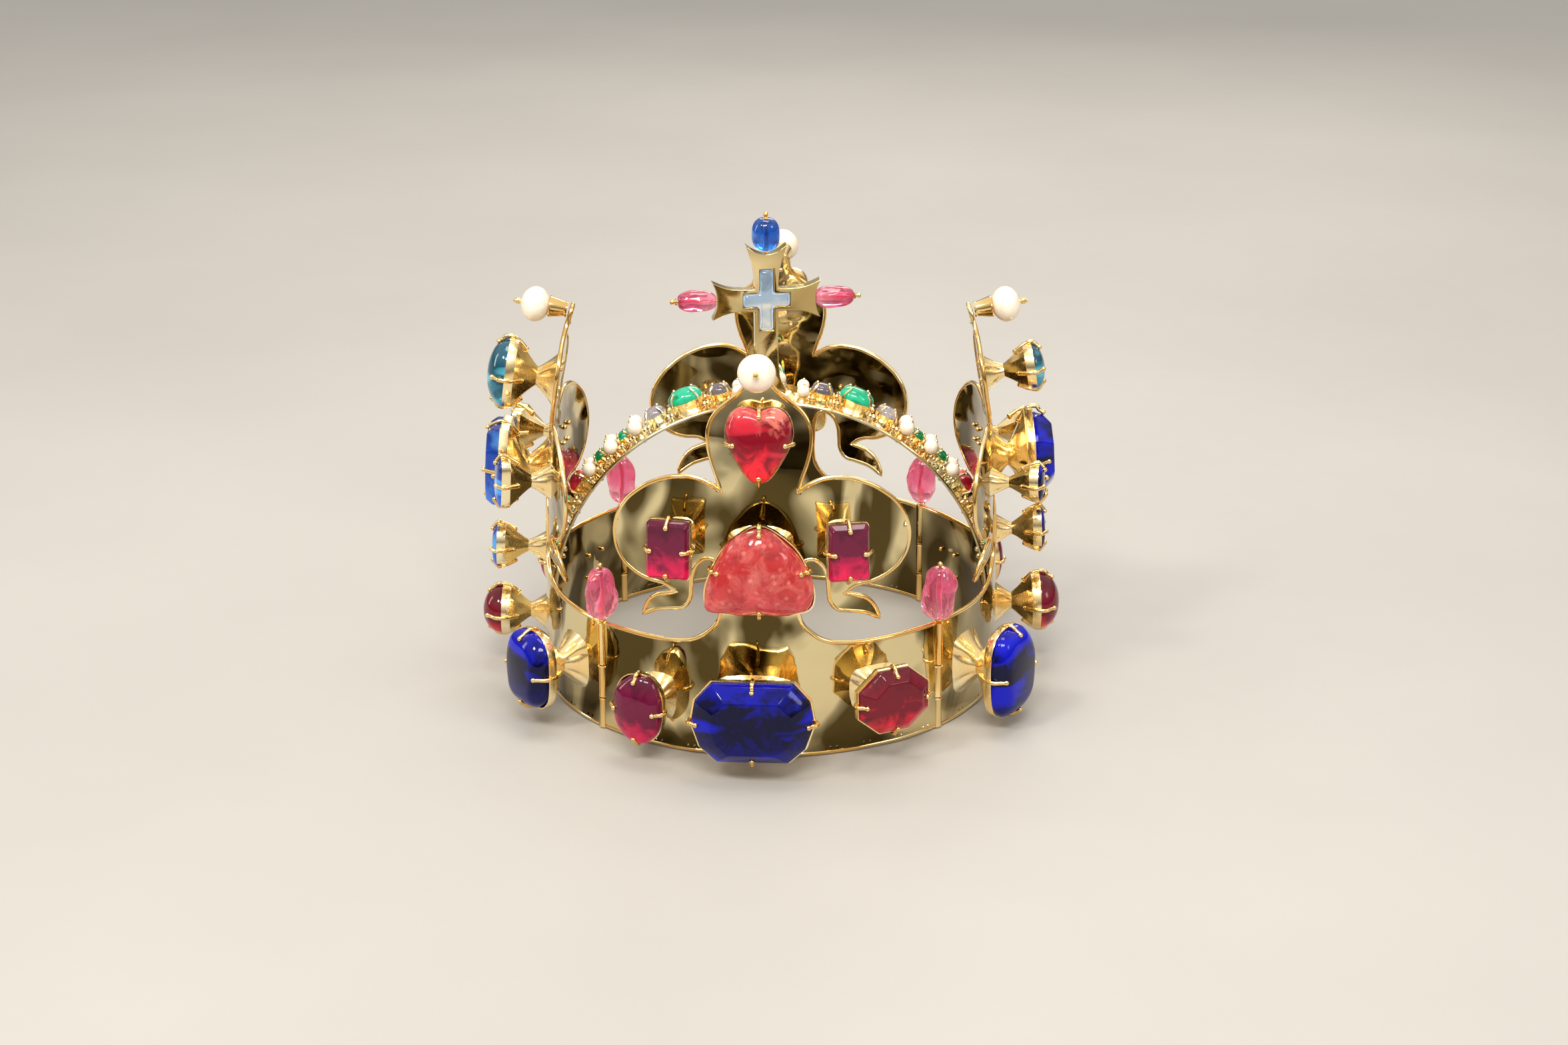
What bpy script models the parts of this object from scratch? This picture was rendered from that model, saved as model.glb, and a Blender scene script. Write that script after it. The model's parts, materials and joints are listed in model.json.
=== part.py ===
"""An arched royal crown: four hinged lily panels, their stones in collets, two crossing arches and a cross.

The work is in millimetres and is scaled to metres as each object is made. +Z is up, the front faces -Y,
and the origin is on the crown's axis at the lower edge of the band. A place on a panel is (across, height):
across is the arc length from the panel's middle, positive to the right of someone who faces the panel.
"""

import math

import bmesh
import bpy
from mathutils import Matrix, Vector

MM = 0.001

# Driving dimensions
BAND_RADIUS = 95.0
BAND_HEIGHT = 45.4
BAND_FOOT = 4.0
PLATE = 1.4
GAP = 0.3
LILY_TIP = 157.5
LILY_SPREAD = 78.0
LILY_CURL = 0.58

# Hinges between the panels
HINGE_RADIUS = 94.0
KNUCKLE_RADIUS = 1.9
BORE_RADIUS = 1.0
PIN_RADIUS = 0.75
WIRE_RADIUS = 0.5
BEAD_BORE = 0.8
KNUCKLE_SPLITS = (13.0, 27.0)

# Arches
ARCH_SPAN = 89.6
ARCH_RISE = 88.0
ARCH_CENTRE = 27.6
ARCH_WIDTH = 14.0
ARCH_THICKNESS = 1.6
ARCH_TOP = ARCH_CENTRE + ARCH_RISE + ARCH_THICKNESS

# Cross
CROSS_MIDDLE = 158.5
CROSS_DEPTH = 5.0
CROSS_REACH = 20.0
CROSS_TOP = 177.4
CROSS_TURN = 8.0
CROSS_SHIFT = -1.9

PANELS = {"front": 0, "right": 90, "back": 180, "left": 270}
LILY_SHIFT = {"front": -4.0, "right": 0.0, "back": -4.0, "left": 0.0}

COLOURS = {
    "gold": ((0.90, 0.62, 0.22), 0.12, 1.0),
    "ruby_red": ((0.45, 0.01, 0.03), 0.08, 0.0),
    "spinel_pink": ((0.80, 0.16, 0.25), 0.08, 0.0),
    "sapphire_blue": ((0.01, 0.02, 0.45), 0.06, 0.0),
    "aquamarine": ((0.10, 0.42, 0.62), 0.06, 0.0),
    "crystal": ((0.62, 0.72, 0.85), 0.06, 0.0),
    "pearl": ((0.92, 0.86, 0.74), 0.22, 0.0),
}

# Each stone: name, across from the lily's axis, height, width, tall, squareness of its outline,
# taper (wider at the top when positive), foot half width, girdle's height over the plate,
# crown's height over the girdle, material
FRONT_STONES = [
    ("top_stone", 0.5, 128.5, 24.0, 28.0, 2.4, 0.30, 7.5, 13.0, 7.0, "ruby_red"),
    ("left_petal_stone", -31.0, 89.5, 16.5, 22.5, 9.0, 0.0, 6.0, 15.0, 5.0, "ruby_red"),
    ("right_petal_stone", 31.0, 89.0, 15.5, 22.0, 9.0, 0.0, 6.0, 15.0, 5.0, "ruby_red"),
    ("centre_stone", 0.5, 82.5, 38.5, 34.5, 2.6, -0.32, 9.0, 14.0, 12.0, "spinel_pink"),
    ("band_left_stone", -41.0, 21.8, 21.0, 27.5, 2.3, 0.0, 7.0, 14.0, 8.0, "ruby_red"),
    ("band_centre_stone", -1.4, 23.2, 47.0, 32.0, 3.4, 0.0, 10.5, 18.0, 9.5, "sapphire_blue"),
    ("band_right_stone", 46.0, 26.0, 30.0, 25.5, 3.0, 0.0, 8.0, 14.0, 6.5, "ruby_red"),
]
LEFT_STONES = [
    ("top_stone", 0.0, 124.8, 24.0, 28.5, 2.2, 0.15, 9.0, 18.0, 9.5, "aquamarine"),
    ("left_petal_stone", -31.0, 91.5, 15.5, 18.0, 4.0, 0.0, 7.5, 18.5, 3.5, "sapphire_blue"),
    ("right_petal_stone", 31.0, 91.5, 15.5, 19.5, 4.0, 0.0, 7.5, 18.5, 3.5, "sapphire_blue"),
    ("centre_stone", 0.0, 88.0, 27.0, 33.0, 4.0, 0.0, 9.0, 18.0, 7.0, "sapphire_blue"),
    ("stem_stone", 0.0, 51.8, 15.0, 18.0, 2.6, 0.0, 6.5, 19.0, 4.0, "sapphire_blue"),
    ("band_left_stone", -54.0, 24.0, 24.0, 27.0, 2.3, 0.0, 8.0, 16.0, 8.0, "ruby_red"),
    ("band_centre_stone", 0.0, 23.0, 20.5, 20.5, 2.0, 0.0, 7.0, 17.0, 10.0, "ruby_red"),
    ("band_right_stone", 55.0, 23.5, 27.0, 31.0, 3.0, 0.0, 8.5, 18.0, 8.5, "sapphire_blue"),
]
RIGHT_STONES = [
    ("top_stone", 0.0, 127.2, 18.0, 18.5, 2.2, 0.0, 5.5, 18.0, 6.0, "aquamarine"),
    ("left_petal_stone", -31.0, 91.0, 15.0, 14.5, 2.4, 0.0, 6.5, 18.0, 3.5, "sapphire_blue"),
    ("right_petal_stone", 31.0, 91.0, 15.5, 16.0, 2.4, 0.0, 6.5, 18.0, 3.5, "sapphire_blue"),
    ("centre_stone", 0.0, 92.0, 29.0, 33.0, 2.6, 0.0, 9.0, 15.0, 9.5, "sapphire_blue"),
    ("stem_stone", 0.0, 59.5, 15.0, 18.0, 2.4, 0.0, 5.5, 17.5, 3.5, "sapphire_blue"),
    ("band_left_stone", -55.0, 22.5, 28.0, 36.0, 3.0, 0.0, 9.5, 18.0, 8.5, "sapphire_blue"),
    ("band_centre_stone", 0.0, 27.0, 23.5, 24.0, 2.0, 0.0, 7.5, 17.0, 10.0, "ruby_red"),
    ("band_right_stone", 54.0, 24.0, 24.0, 27.0, 2.3, 0.0, 8.0, 16.0, 8.0, "ruby_red"),
]
STONES = {"front": FRONT_STONES, "right": RIGHT_STONES, "back": FRONT_STONES, "left": LEFT_STONES}


def band_radius(height):
    """Radius of the panels' outer face: upright at the foot, leaning in more and more to the lilies' tips."""
    risen = max(height - BAND_FOOT, 0.0)
    return BAND_RADIUS - 0.031 * risen - 12.5 * (risen / 160.0) ** 5


def panel_angle(across, height):
    """Angle from the panel's middle: the band's ends stand upright, so it is the same all the way up."""
    return across / band_radius(max(height, BAND_HEIGHT))


def curl(height):
    """How far the sheet is rolled round the crown: fully at the band, but the lily above it is flatter."""
    share = min(max((height - BAND_HEIGHT) / (LILY_SPREAD - BAND_HEIGHT), 0.0), 1.0)
    return 1.0 - (1.0 - LILY_CURL) * share * share * (3.0 - 2.0 * share)


QUARTER = math.pi / 4 * band_radius(BAND_HEIGHT)
PANEL_END = QUARTER - KNUCKLE_RADIUS - 0.5
PANEL_LAP = QUARTER - 1.3


def on_panel(side, across, height, out=0.0):
    angle = panel_angle(across, height)
    rolled = curl(height)
    outward = Vector((rolled * math.sin(angle), -math.cos(angle), 0)).normalized()
    radius = band_radius(height)
    point = Vector((radius * math.sin(angle), -radius * (1 - rolled * (1 - math.cos(angle))), height))
    return Matrix.Rotation(math.radians(PANELS[side]), 3, "Z") @ (point + out * outward)


def panel_frame(side, across, height):
    """A frame on the panel's outer face: X across, Y up the plate, Z outwards."""
    here = on_panel(side, across, height)
    right = (on_panel(side, across + 0.1, height) - here).normalized()
    up = (on_panel(side, across, height + 0.1) - here).normalized()
    out = right.cross(up).normalized()
    up = out.cross(right)
    frame = Matrix((right, up, out)).transposed().to_4x4()
    frame.translation = here
    return frame


def make_materials():
    made = {}
    for name, (colour, roughness, metallic) in COLOURS.items():
        material = bpy.data.materials.new(name)
        material.use_nodes = True
        shader = material.node_tree.nodes["Principled BSDF"]
        shader.inputs["Base Color"].default_value = (*colour, 1.0)
        shader.inputs["Roughness"].default_value = roughness
        shader.inputs["Metallic"].default_value = metallic
        made[name] = material
    return made


def make_collection(name):
    collection = bpy.data.collections.new(name)
    bpy.context.scene.collection.children.link(collection)
    return collection


def add_object(name, bm, collection, material, origin=Vector()):
    """Turns a bmesh in millimetres into an object in metres, with its origin at the given point."""
    bmesh.ops.transform(bm, matrix=Matrix.Scale(MM, 4) @ Matrix.Translation(-origin), verts=bm.verts)
    bmesh.ops.recalc_face_normals(bm, faces=bm.faces)
    mesh = bpy.data.meshes.new(name)
    bm.to_mesh(mesh)
    bm.free()
    mesh.materials.append(material)
    obj = bpy.data.objects.new(name, mesh)
    obj.location = origin * MM
    collection.objects.link(obj)
    return obj


def add_helper(name, bm, collection, material):
    obj = add_object(name, bm, collection, material)
    obj.hide_render = True
    obj.display_type = "WIRE"
    return obj


def add_boolean(obj, operation, other):
    modifier = obj.modifiers.new(operation.title(), "BOOLEAN")
    modifier.operation = operation
    if isinstance(other, bpy.types.Collection):
        modifier.operand_type = "COLLECTION"
        modifier.collection = other
    else:
        modifier.object = other


def cylinder(bm, radius, start, end, sides, end_radius=None):
    """Adds a closed cylinder or cone from one point to another."""
    axis = end - start
    placed = Matrix.Translation((start + end) / 2) @ axis.to_track_quat("Z", "Y").to_matrix().to_4x4()
    bmesh.ops.create_cone(
        bm,
        cap_ends=True,
        segments=sides,
        radius1=radius,
        radius2=radius if end_radius is None else end_radius,
        depth=axis.length,
        matrix=placed,
    )


def loft(bm, rings):
    """Joins rings of the same number of points into one closed skin."""
    layers = [[bm.verts.new(point) for point in ring] for ring in rings]
    count = len(layers[0])
    for low, high in zip(layers, layers[1:]):
        for i in range(count):
            j = (i + 1) % count
            bm.faces.new((low[i], low[j], high[j], high[i]))
    bm.faces.new(reversed(layers[0]))
    bm.faces.new(layers[-1])


def outline(width, tall, squareness, taper, sides):
    """A superellipse, wider at the top for a positive taper."""
    points = []
    for i in range(sides):
        turn = 2 * math.pi * i / sides
        x = math.copysign(abs(math.cos(turn)) ** (2 / squareness), math.cos(turn))
        y = math.copysign(abs(math.sin(turn)) ** (2 / squareness), math.sin(turn))
        points.append((x * width / 2 * (1 + taper * y), y * tall / 2))
    return points


def ring(frame, points, scale, out):
    return [frame @ Vector((x * scale, y * scale, out)) for x, y in points]


def half_lily():
    """One half of a panel's edge from the hinge up to the tip, as (across, height, is a corner)."""
    return [
        (34.0, 45.4, False),
        (23.5, 48.4, False),
        (15.2, 58.0, False),
        (15.0, 72.0, False),
        (20.5, 81.2, False),
        (26.6, 77.0, False),
        (27.6, 66.0, False),
        (34.0, 60.4, False),
        (48.0, 54.4, True),
        (43.0, 62.8, False),
        (31.6, 66.0, True),
        (33.0, 69.0, True),
        (47.0, 72.0, False),
        (59.5, 81.5, False),
        (60.0, 95.0, False),
        (49.0, 106.8, False),
        (33.0, 112.8, False),
        (14.0, 108.0, True),
        (19.2, 122.5, False),
        (18.8, 134.0, False),
        (9.5, 144.0, False),
        (3.0, 150.5, False),
        (2.6, LILY_TIP, True),
    ]


def panel_outline(side):
    """The whole edge of a panel, its ends stepped where it reaches into its own hinge knuckles."""
    low, high = KNUCKLE_SPLITS
    middle_knuckle = side in ("front", "back")
    steps = []
    for height in (0.0, low, high, BAND_HEIGHT):
        inner = low <= height <= high
        steps += [height - GAP / 2, height + GAP / 2] if inner else [height]
    bottom, low_a, low_b, high_a, high_b, top = steps
    spans = [(bottom, low_a), (low_b, high_a), (high_b, top)]
    lapped = [middle_knuckle is (i == 1) for i in range(3)]
    end = []
    for (start, stop), laps in zip(spans, lapped):
        reach = PANEL_LAP if laps else PANEL_END
        end += [(reach, start, True), (reach, stop, True)]
    shift = LILY_SHIFT[side]
    lily = half_lily()
    right = end + [(x + shift, z, corner) for x, z, corner in lily]
    left = [(-x + shift, z, corner) for x, z, corner in reversed(lily)]
    left += [(-x, z, corner) for x, z, corner in reversed(end)]
    return right + left


def curve_points(points, resolution):
    """Points along a closed curve that is smooth except at its corners."""
    curve = bpy.data.curves.new("outline", "CURVE")
    curve.dimensions = "2D"
    curve.fill_mode = "NONE"
    curve.resolution_u = resolution
    spline = curve.splines.new("BEZIER")
    spline.use_cyclic_u = True
    spline.bezier_points.add(len(points) - 1)
    for knot, (x, y, corner) in zip(spline.bezier_points, points):
        knot.co = (x, y, 0)
        knot.handle_left_type = knot.handle_right_type = "VECTOR" if corner else "AUTO"
    guide = bpy.data.objects.new("outline", curve)
    bpy.context.scene.collection.objects.link(guide)
    graph = bpy.context.evaluated_depsgraph_get()
    mesh = bpy.data.meshes.new_from_object(guide.evaluated_get(graph))
    found = [Vector(vertex.co) for vertex in mesh.vertices]
    bpy.data.objects.remove(guide)
    kept = []
    for i, point in enumerate(found):
        if (point - found[i - 1]).length > 0.05:
            kept.append(point)
    return kept


def make_plate(side, collection, material):
    """The panel's sheet: its flat outline, cut into strips so that it can bend, then thickened inwards."""
    bm = bmesh.new()
    bm.faces.new([bm.verts.new(point) for point in curve_points(panel_outline(side), 3)])
    strip, course = 12.0, 24.0
    cuts = [((i * strip, 0, 0), (1, 0, 0)) for i in range(-6, 7)]
    cuts += [((0, BAND_HEIGHT + 8.0 + i * course, 0), (0, 1, 0)) for i in range(5)]
    cuts.append(((0, BAND_FOOT, 0), (0, 1, 0)))
    for place, normal in cuts:
        everything = bm.verts[:] + bm.edges[:] + bm.faces[:]
        bmesh.ops.bisect_plane(bm, geom=everything, plane_co=place, plane_no=normal)
    bmesh.ops.triangulate(bm, faces=bm.faces)
    for vertex in bm.verts:
        vertex.co = on_panel(side, vertex.co.x, vertex.co.y)
    obj = add_object(f"{side}_panel", bm, collection, material)
    outward = on_panel(side, 0, BAND_HEIGHT) - Vector((0, 0, BAND_HEIGHT))
    if sum(face.normal.dot(outward) * face.area for face in obj.data.polygons) < 0:
        obj.data.flip_normals()
    shell = obj.modifiers.new("Thickness", "SOLIDIFY")
    shell.thickness = PLATE * MM
    shell.offset = -1
    return obj


def hinge_point(side, end, height):
    angle = math.radians(PANELS[side] + 45 * end)
    return Vector((HINGE_RADIUS * math.sin(angle), -HINGE_RADIUS * math.cos(angle), height))


def add_knuckles(panel, side, cutters, material):
    """Turned knuckles on both ends of a panel, and the bores for the hinge pins."""
    low, high = KNUCKLE_SPLITS
    half = GAP / 2
    spans = [(low + half, high - half)]
    if side in ("left", "right"):
        spans = [(0.0, low - half), (high + half, BAND_HEIGHT)]
    for end in (-1, 1):
        for start, stop in spans:
            bm = bmesh.new()
            cylinder(bm, KNUCKLE_RADIUS, hinge_point(side, end, start), hinge_point(side, end, stop), 12)
            add_boolean(panel, "UNION", add_helper(f"{side}_knuckle", bm, cutters, material))
        bm = bmesh.new()
        below, above = hinge_point(side, end, -5.0), hinge_point(side, end, BAND_HEIGHT + 5.0)
        cylinder(bm, BORE_RADIUS, below, above, 12)
        add_boolean(panel, "DIFFERENCE", add_helper(f"{side}_bore", bm, cutters, material))


def make_collet(name, frame, stone, collection, material):
    """An hourglass setting: square foot in the plate, narrow waist, cup shaped to the stone."""
    _, _, _, width, tall, squareness, taper, foot, girdle, _, _ = stone
    sides = 8
    base = outline(2 * foot, 2 * foot, 9.0, 0.0, sides)
    cup = outline(width, tall, squareness, taper, sides)
    waist = outline(5.5, 5.5, 2.0, 0.0, sides)
    bm = bmesh.new()
    rings = [
        ring(frame, base, 1.0, -1.0),
        ring(frame, base, 0.96, 0.8),
        ring(frame, waist, 1.0, 0.42 * girdle),
        ring(frame, cup, 0.86, 0.86 * girdle),
        ring(frame, cup, 0.97, girdle),
    ]
    loft(bm, rings)
    return add_helper(name, bm, collection, material)


def make_stone(side, stone, frame, collection, materials):
    name, _, _, width, tall, squareness, taper, _, girdle, crown, colour = stone
    points = outline(width, tall, squareness, taper, 12)
    bm = bmesh.new()
    rings = [
        ring(frame, points, 0.94, girdle + GAP),
        ring(frame, points, 1.0, girdle + 0.25 * crown),
        ring(frame, points, 0.90, girdle + 0.65 * crown),
        ring(frame, points, 0.55, girdle + crown),
    ]
    loft(bm, rings)
    return add_object(f"{side}_{name}", bm, collection, materials[colour])


def make_panel(side, crown, cutters, materials):
    """One panel with its knuckles and soldered collets, and its stones as separate solids."""
    gold = materials["gold"]
    panel = make_plate(side, crown, gold)
    collets = make_collection(f"{side}_collets")
    for stone in STONES[side]:
        frame = panel_frame(side, stone[1] + LILY_SHIFT[side], stone[2])
        make_collet(f"{side}_{stone[0]}_collet", frame, stone, collets, gold)
        make_stone(side, stone, frame, crown, materials)
    add_boolean(panel, "UNION", collets)
    add_knuckles(panel, side, cutters, gold)
    panel.data.shade_flat()
    return panel


def bead_rings(frame, length, width, squash, sides, lumps, phase):
    """Rings of a tumbled bead along the frame's Z: fuller in the middle, with gentle lumps round it."""
    rings = []
    for t, fat in ((0.0, 0.42), (0.14, 0.78), (0.38, 1.0), (0.66, 0.96), (0.88, 0.7), (1.0, 0.38)):
        points = []
        for i in range(sides):
            turn = 2 * math.pi * i / sides
            radius = width / 2 * fat * (1 + lumps * math.cos(3 * turn + phase + 2 * t))
            aside, ahead = radius * math.cos(turn), squash * radius * math.sin(turn)
            points.append(frame @ Vector((aside, ahead, t * length)))
        rings.append(points)
    return rings


def make_bead(name, frame, length, width, squash, lumps, phase, crown, cutters, material):
    """A drilled bead from the frame's origin along its Z."""
    bm = bmesh.new()
    loft(bm, bead_rings(frame, length, width, squash, 10, lumps, phase))
    bead = add_object(name, bm, crown, material, frame.translation)
    bm = bmesh.new()
    cylinder(bm, BEAD_BORE, frame @ Vector((0, 0, -2)), frame @ Vector((0, 0, length + 2)), 8)
    bore = add_helper(f"{name}_bore", bm, cutters, material)
    add_boolean(bead, "DIFFERENCE", bore)
    return [bead, bore]


def frame_along(start, direction):
    frame = direction.to_track_quat("Z", "Y").to_matrix().to_4x4()
    frame.translation = start
    return frame


def join_shapes(name, shapes, crown, cutters, material, origin=Vector()):
    """One solid from several closed shapes."""
    first, *others = shapes
    body = add_object(name, first, crown, material, origin)
    helpers = [add_helper(f"{name}_part_{i}", shape, cutters, material) for i, shape in enumerate(others)]
    for helper in helpers:
        add_boolean(body, "UNION", helper)
    return [body, *helpers]


def shape_of(build, *arguments):
    bm = bmesh.new()
    build(bm, *arguments)
    return bm


def ball_shape(bm, centre, radius):
    place = Matrix.Translation(centre)
    bmesh.ops.create_uvsphere(bm, u_segments=8, v_segments=6, radius=radius, matrix=place)


PIN_BEADS = {
    "front_left": (-45, 20.5, 12.2, 0.85, 0.07, 0.4),
    "front_right": (45, 21.0, 14.0, 0.80, 0.05, 2.0),
    "back_right": (135, 20.0, 12.4, 0.90, 0.06, 1.1),
    "back_left": (225, 20.5, 12.6, 0.85, 0.06, 3.0),
}
BEAD_SEAT = 47.3


def make_hinge_pins(crown, cutters, materials):
    """Pins that drop into the hinges from above, each with a drilled bead under its ball end."""
    for corner, (angle, length, width, squash, lumps, phase) in PIN_BEADS.items():
        turn = math.radians(angle)
        foot = Vector((HINGE_RADIUS * math.sin(turn), -HINGE_RADIUS * math.cos(turn), 0.4))
        seat, collar, top = foot.copy(), foot.copy(), foot.copy()
        seat.z, collar.z, top.z = BAND_HEIGHT + GAP, BEAD_SEAT - GAP, BEAD_SEAT + length + 1.4
        inside = (seat + collar) / 2
        shapes = [
            shape_of(cylinder, PIN_RADIUS, foot, inside, 8),
            shape_of(cylinder, 1.7, seat, collar, 8),
            shape_of(cylinder, WIRE_RADIUS, inside, top, 8),
            shape_of(ball_shape, top, 1.1),
        ]
        join_shapes(f"{corner}_hinge_pin", shapes, crown, cutters, materials["gold"], foot)
        bead_frame = Matrix.Translation((foot.x, foot.y, BEAD_SEAT)) @ Matrix.Rotation(turn, 4, "Z")
        bead = (length, width, squash, lumps, phase)
        make_bead(f"{corner}_pin_bead", bead_frame, *bead, crown, cutters, materials["spinel_pink"])


def make_pearls(crown, cutters, materials):
    """On each lily's tip a flared post carries a pearl on a ball-ended wire."""
    for side in PANELS:
        across = LILY_SHIFT[side]
        tip = on_panel(side, across, LILY_TIP - 3.4, 0.9)
        angle = math.radians(PANELS[side]) + panel_angle(across, LILY_TIP)
        out = Vector((math.sin(angle), -math.cos(angle), 0.0))
        lift = Vector((0, 0, 0.18))
        aim = (out + lift).normalized()
        post_end = tip + 6.0 * aim
        wire_end = post_end + 15.0 * aim
        shapes = [
            shape_of(cylinder, 2.9, tip, post_end, 8, 4.3),
            shape_of(cylinder, WIRE_RADIUS, post_end - aim, wire_end, 8),
            shape_of(ball_shape, wire_end, 1.2),
        ]
        join_shapes(f"{side}_pearl_post", shapes, crown, cutters, materials["gold"])
        centre = post_end + 6.9 * aim
        bm = bmesh.new()
        bmesh.ops.create_uvsphere(bm, u_segments=12, v_segments=8, radius=7.0)
        frame = frame_along(centre, aim)
        bmesh.ops.scale(bm, vec=(1.04, 1.04, 0.9), verts=bm.verts)
        bmesh.ops.transform(bm, matrix=frame, verts=bm.verts)
        pearl = add_object(f"{side}_pearl", bm, crown, materials["pearl"], centre)
        bm = bmesh.new()
        cylinder(bm, BEAD_BORE, centre - 9 * aim, centre + 9 * aim, 8)
        add_boolean(pearl, "DIFFERENCE", add_helper(f"{side}_pearl_bore", bm, cutters, materials["gold"]))


def arch_point(turn, out):
    """A point of the side-to-side arch's section: turn is 0 at the right foot and pi at the left one."""
    normal = Vector((math.cos(turn) / ARCH_SPAN, 0, math.sin(turn) / ARCH_RISE)).normalized()
    return Vector((ARCH_SPAN * math.cos(turn), 0, ARCH_CENTRE + ARCH_RISE * math.sin(turn))) + out * normal


def make_arch(name, first, last, steps, angle, crown, material):
    """A flat strip bent along the arch's curve between two turns."""
    bm = bmesh.new()
    half = ARCH_WIDTH / 2
    rings = []
    for i in range(steps + 1):
        turn = first + (last - first) * i / steps
        inner, outer = arch_point(turn, 0.0), arch_point(turn, ARCH_THICKNESS)
        across = Vector((0, half, 0))
        rings.append([inner - across, inner + across, outer + across, outer - across])
    loft(bm, rings)
    bmesh.ops.transform(bm, matrix=Matrix.Rotation(math.radians(angle), 4, "Z"), verts=bm.verts)
    return add_object(name, bm, crown, material)


ARCH_SEATS = (22.0, 37.0, 56.0, 74.0)
ARCH_FOOT = 6.0


def add_arch_seats(arch, turns, angle, material):
    """Low cups on the strip that hold the arch's larger stones."""
    seats = make_collection(f"{arch.name}_seats")
    for degrees in turns:
        turn = math.radians(degrees)
        bm = bmesh.new()
        cylinder(bm, 3.6, arch_point(turn, 0.6), arch_point(turn, 4.6), 8, 4.4)
        bmesh.ops.transform(bm, matrix=Matrix.Rotation(math.radians(angle), 4, "Z"), verts=bm.verts)
        add_helper(f"{arch.name}_seat", bm, seats, material)
    add_boolean(arch, "UNION", seats)


def make_arches(crown, materials):
    """One whole arch from side to side, and a half arch from the front and from the back that meet it."""
    gold = materials["gold"]
    foot = math.radians(ARCH_FOOT)
    whole = make_arch("side_to_side_arch", foot, math.pi - foot, 40, 0, crown, gold)
    add_arch_seats(whole, [*ARCH_SEATS, *(180 - seat for seat in ARCH_SEATS)], 0, gold)
    meet = math.acos((ARCH_WIDTH / 2 + GAP) / ARCH_SPAN)
    for name, angle in (("front_half_arch", -90), ("back_half_arch", 90)):
        half = make_arch(name, foot, meet, 20, angle, crown, gold)
        add_arch_seats(half, ARCH_SEATS, angle, gold)


def make_boss(crown, material):
    """The plate on the crossing of the arches, under the cross."""
    bm = bmesh.new()
    low, high = Vector((0, 0, ARCH_TOP + GAP)), Vector((0, 0, ARCH_TOP + GAP + 2.0))
    cylinder(bm, 10.0, low, high, 16, 8.4)
    return add_object("arch_boss", bm, crown, material)


def cross_edge():
    """A quarter-symmetric cross with hollowed ends, its lower arm drawn out into a flared foot."""
    foot = ARCH_TOP + 2 * GAP + 2.0
    right = [
        (8.2, foot, True),
        (5.2, foot + 8.0, False),
        (4.9, CROSS_MIDDLE - 6.0, False),
        (5.2, CROSS_MIDDLE - 4.6, True),
        (12.0, CROSS_MIDDLE - 5.0, False),
        (22.0, CROSS_MIDDLE - 8.4, True),
        (CROSS_REACH, CROSS_MIDDLE, False),
        (22.0, CROSS_MIDDLE + 8.4, True),
        (12.0, CROSS_MIDDLE + 5.0, False),
        (4.8, CROSS_MIDDLE + 4.6, True),
        (5.0, CROSS_MIDDLE + 10.0, False),
        (8.3, CROSS_TOP + 3.8, True),
    ]
    left = [(-x, z, corner) for x, z, corner in reversed(right)]
    return right + [(0.0, CROSS_TOP, False)] + left


def slab(bm, points, front, back):
    """A closed slab standing in the XZ plane between two depths."""
    rings = [[Vector((p.x, depth, p.y)) for p in points] for depth in (front, back)]
    loft(bm, rings)


def cross_bars(bm, grow, front, back):
    """The small upright cross that fills the window in the large one."""
    wide, tall, bar = 9.4 + grow, 12.5 + grow, 2.75 + grow
    right = [(bar, -tall), (bar, -bar), (wide, -bar), (wide, bar), (bar, bar), (bar, tall)]
    edge = right + [(-x, z) for x, z in reversed(right)]
    slab(bm, [Vector((x, CROSS_MIDDLE + z)) for x, z in edge], front, back)


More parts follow.
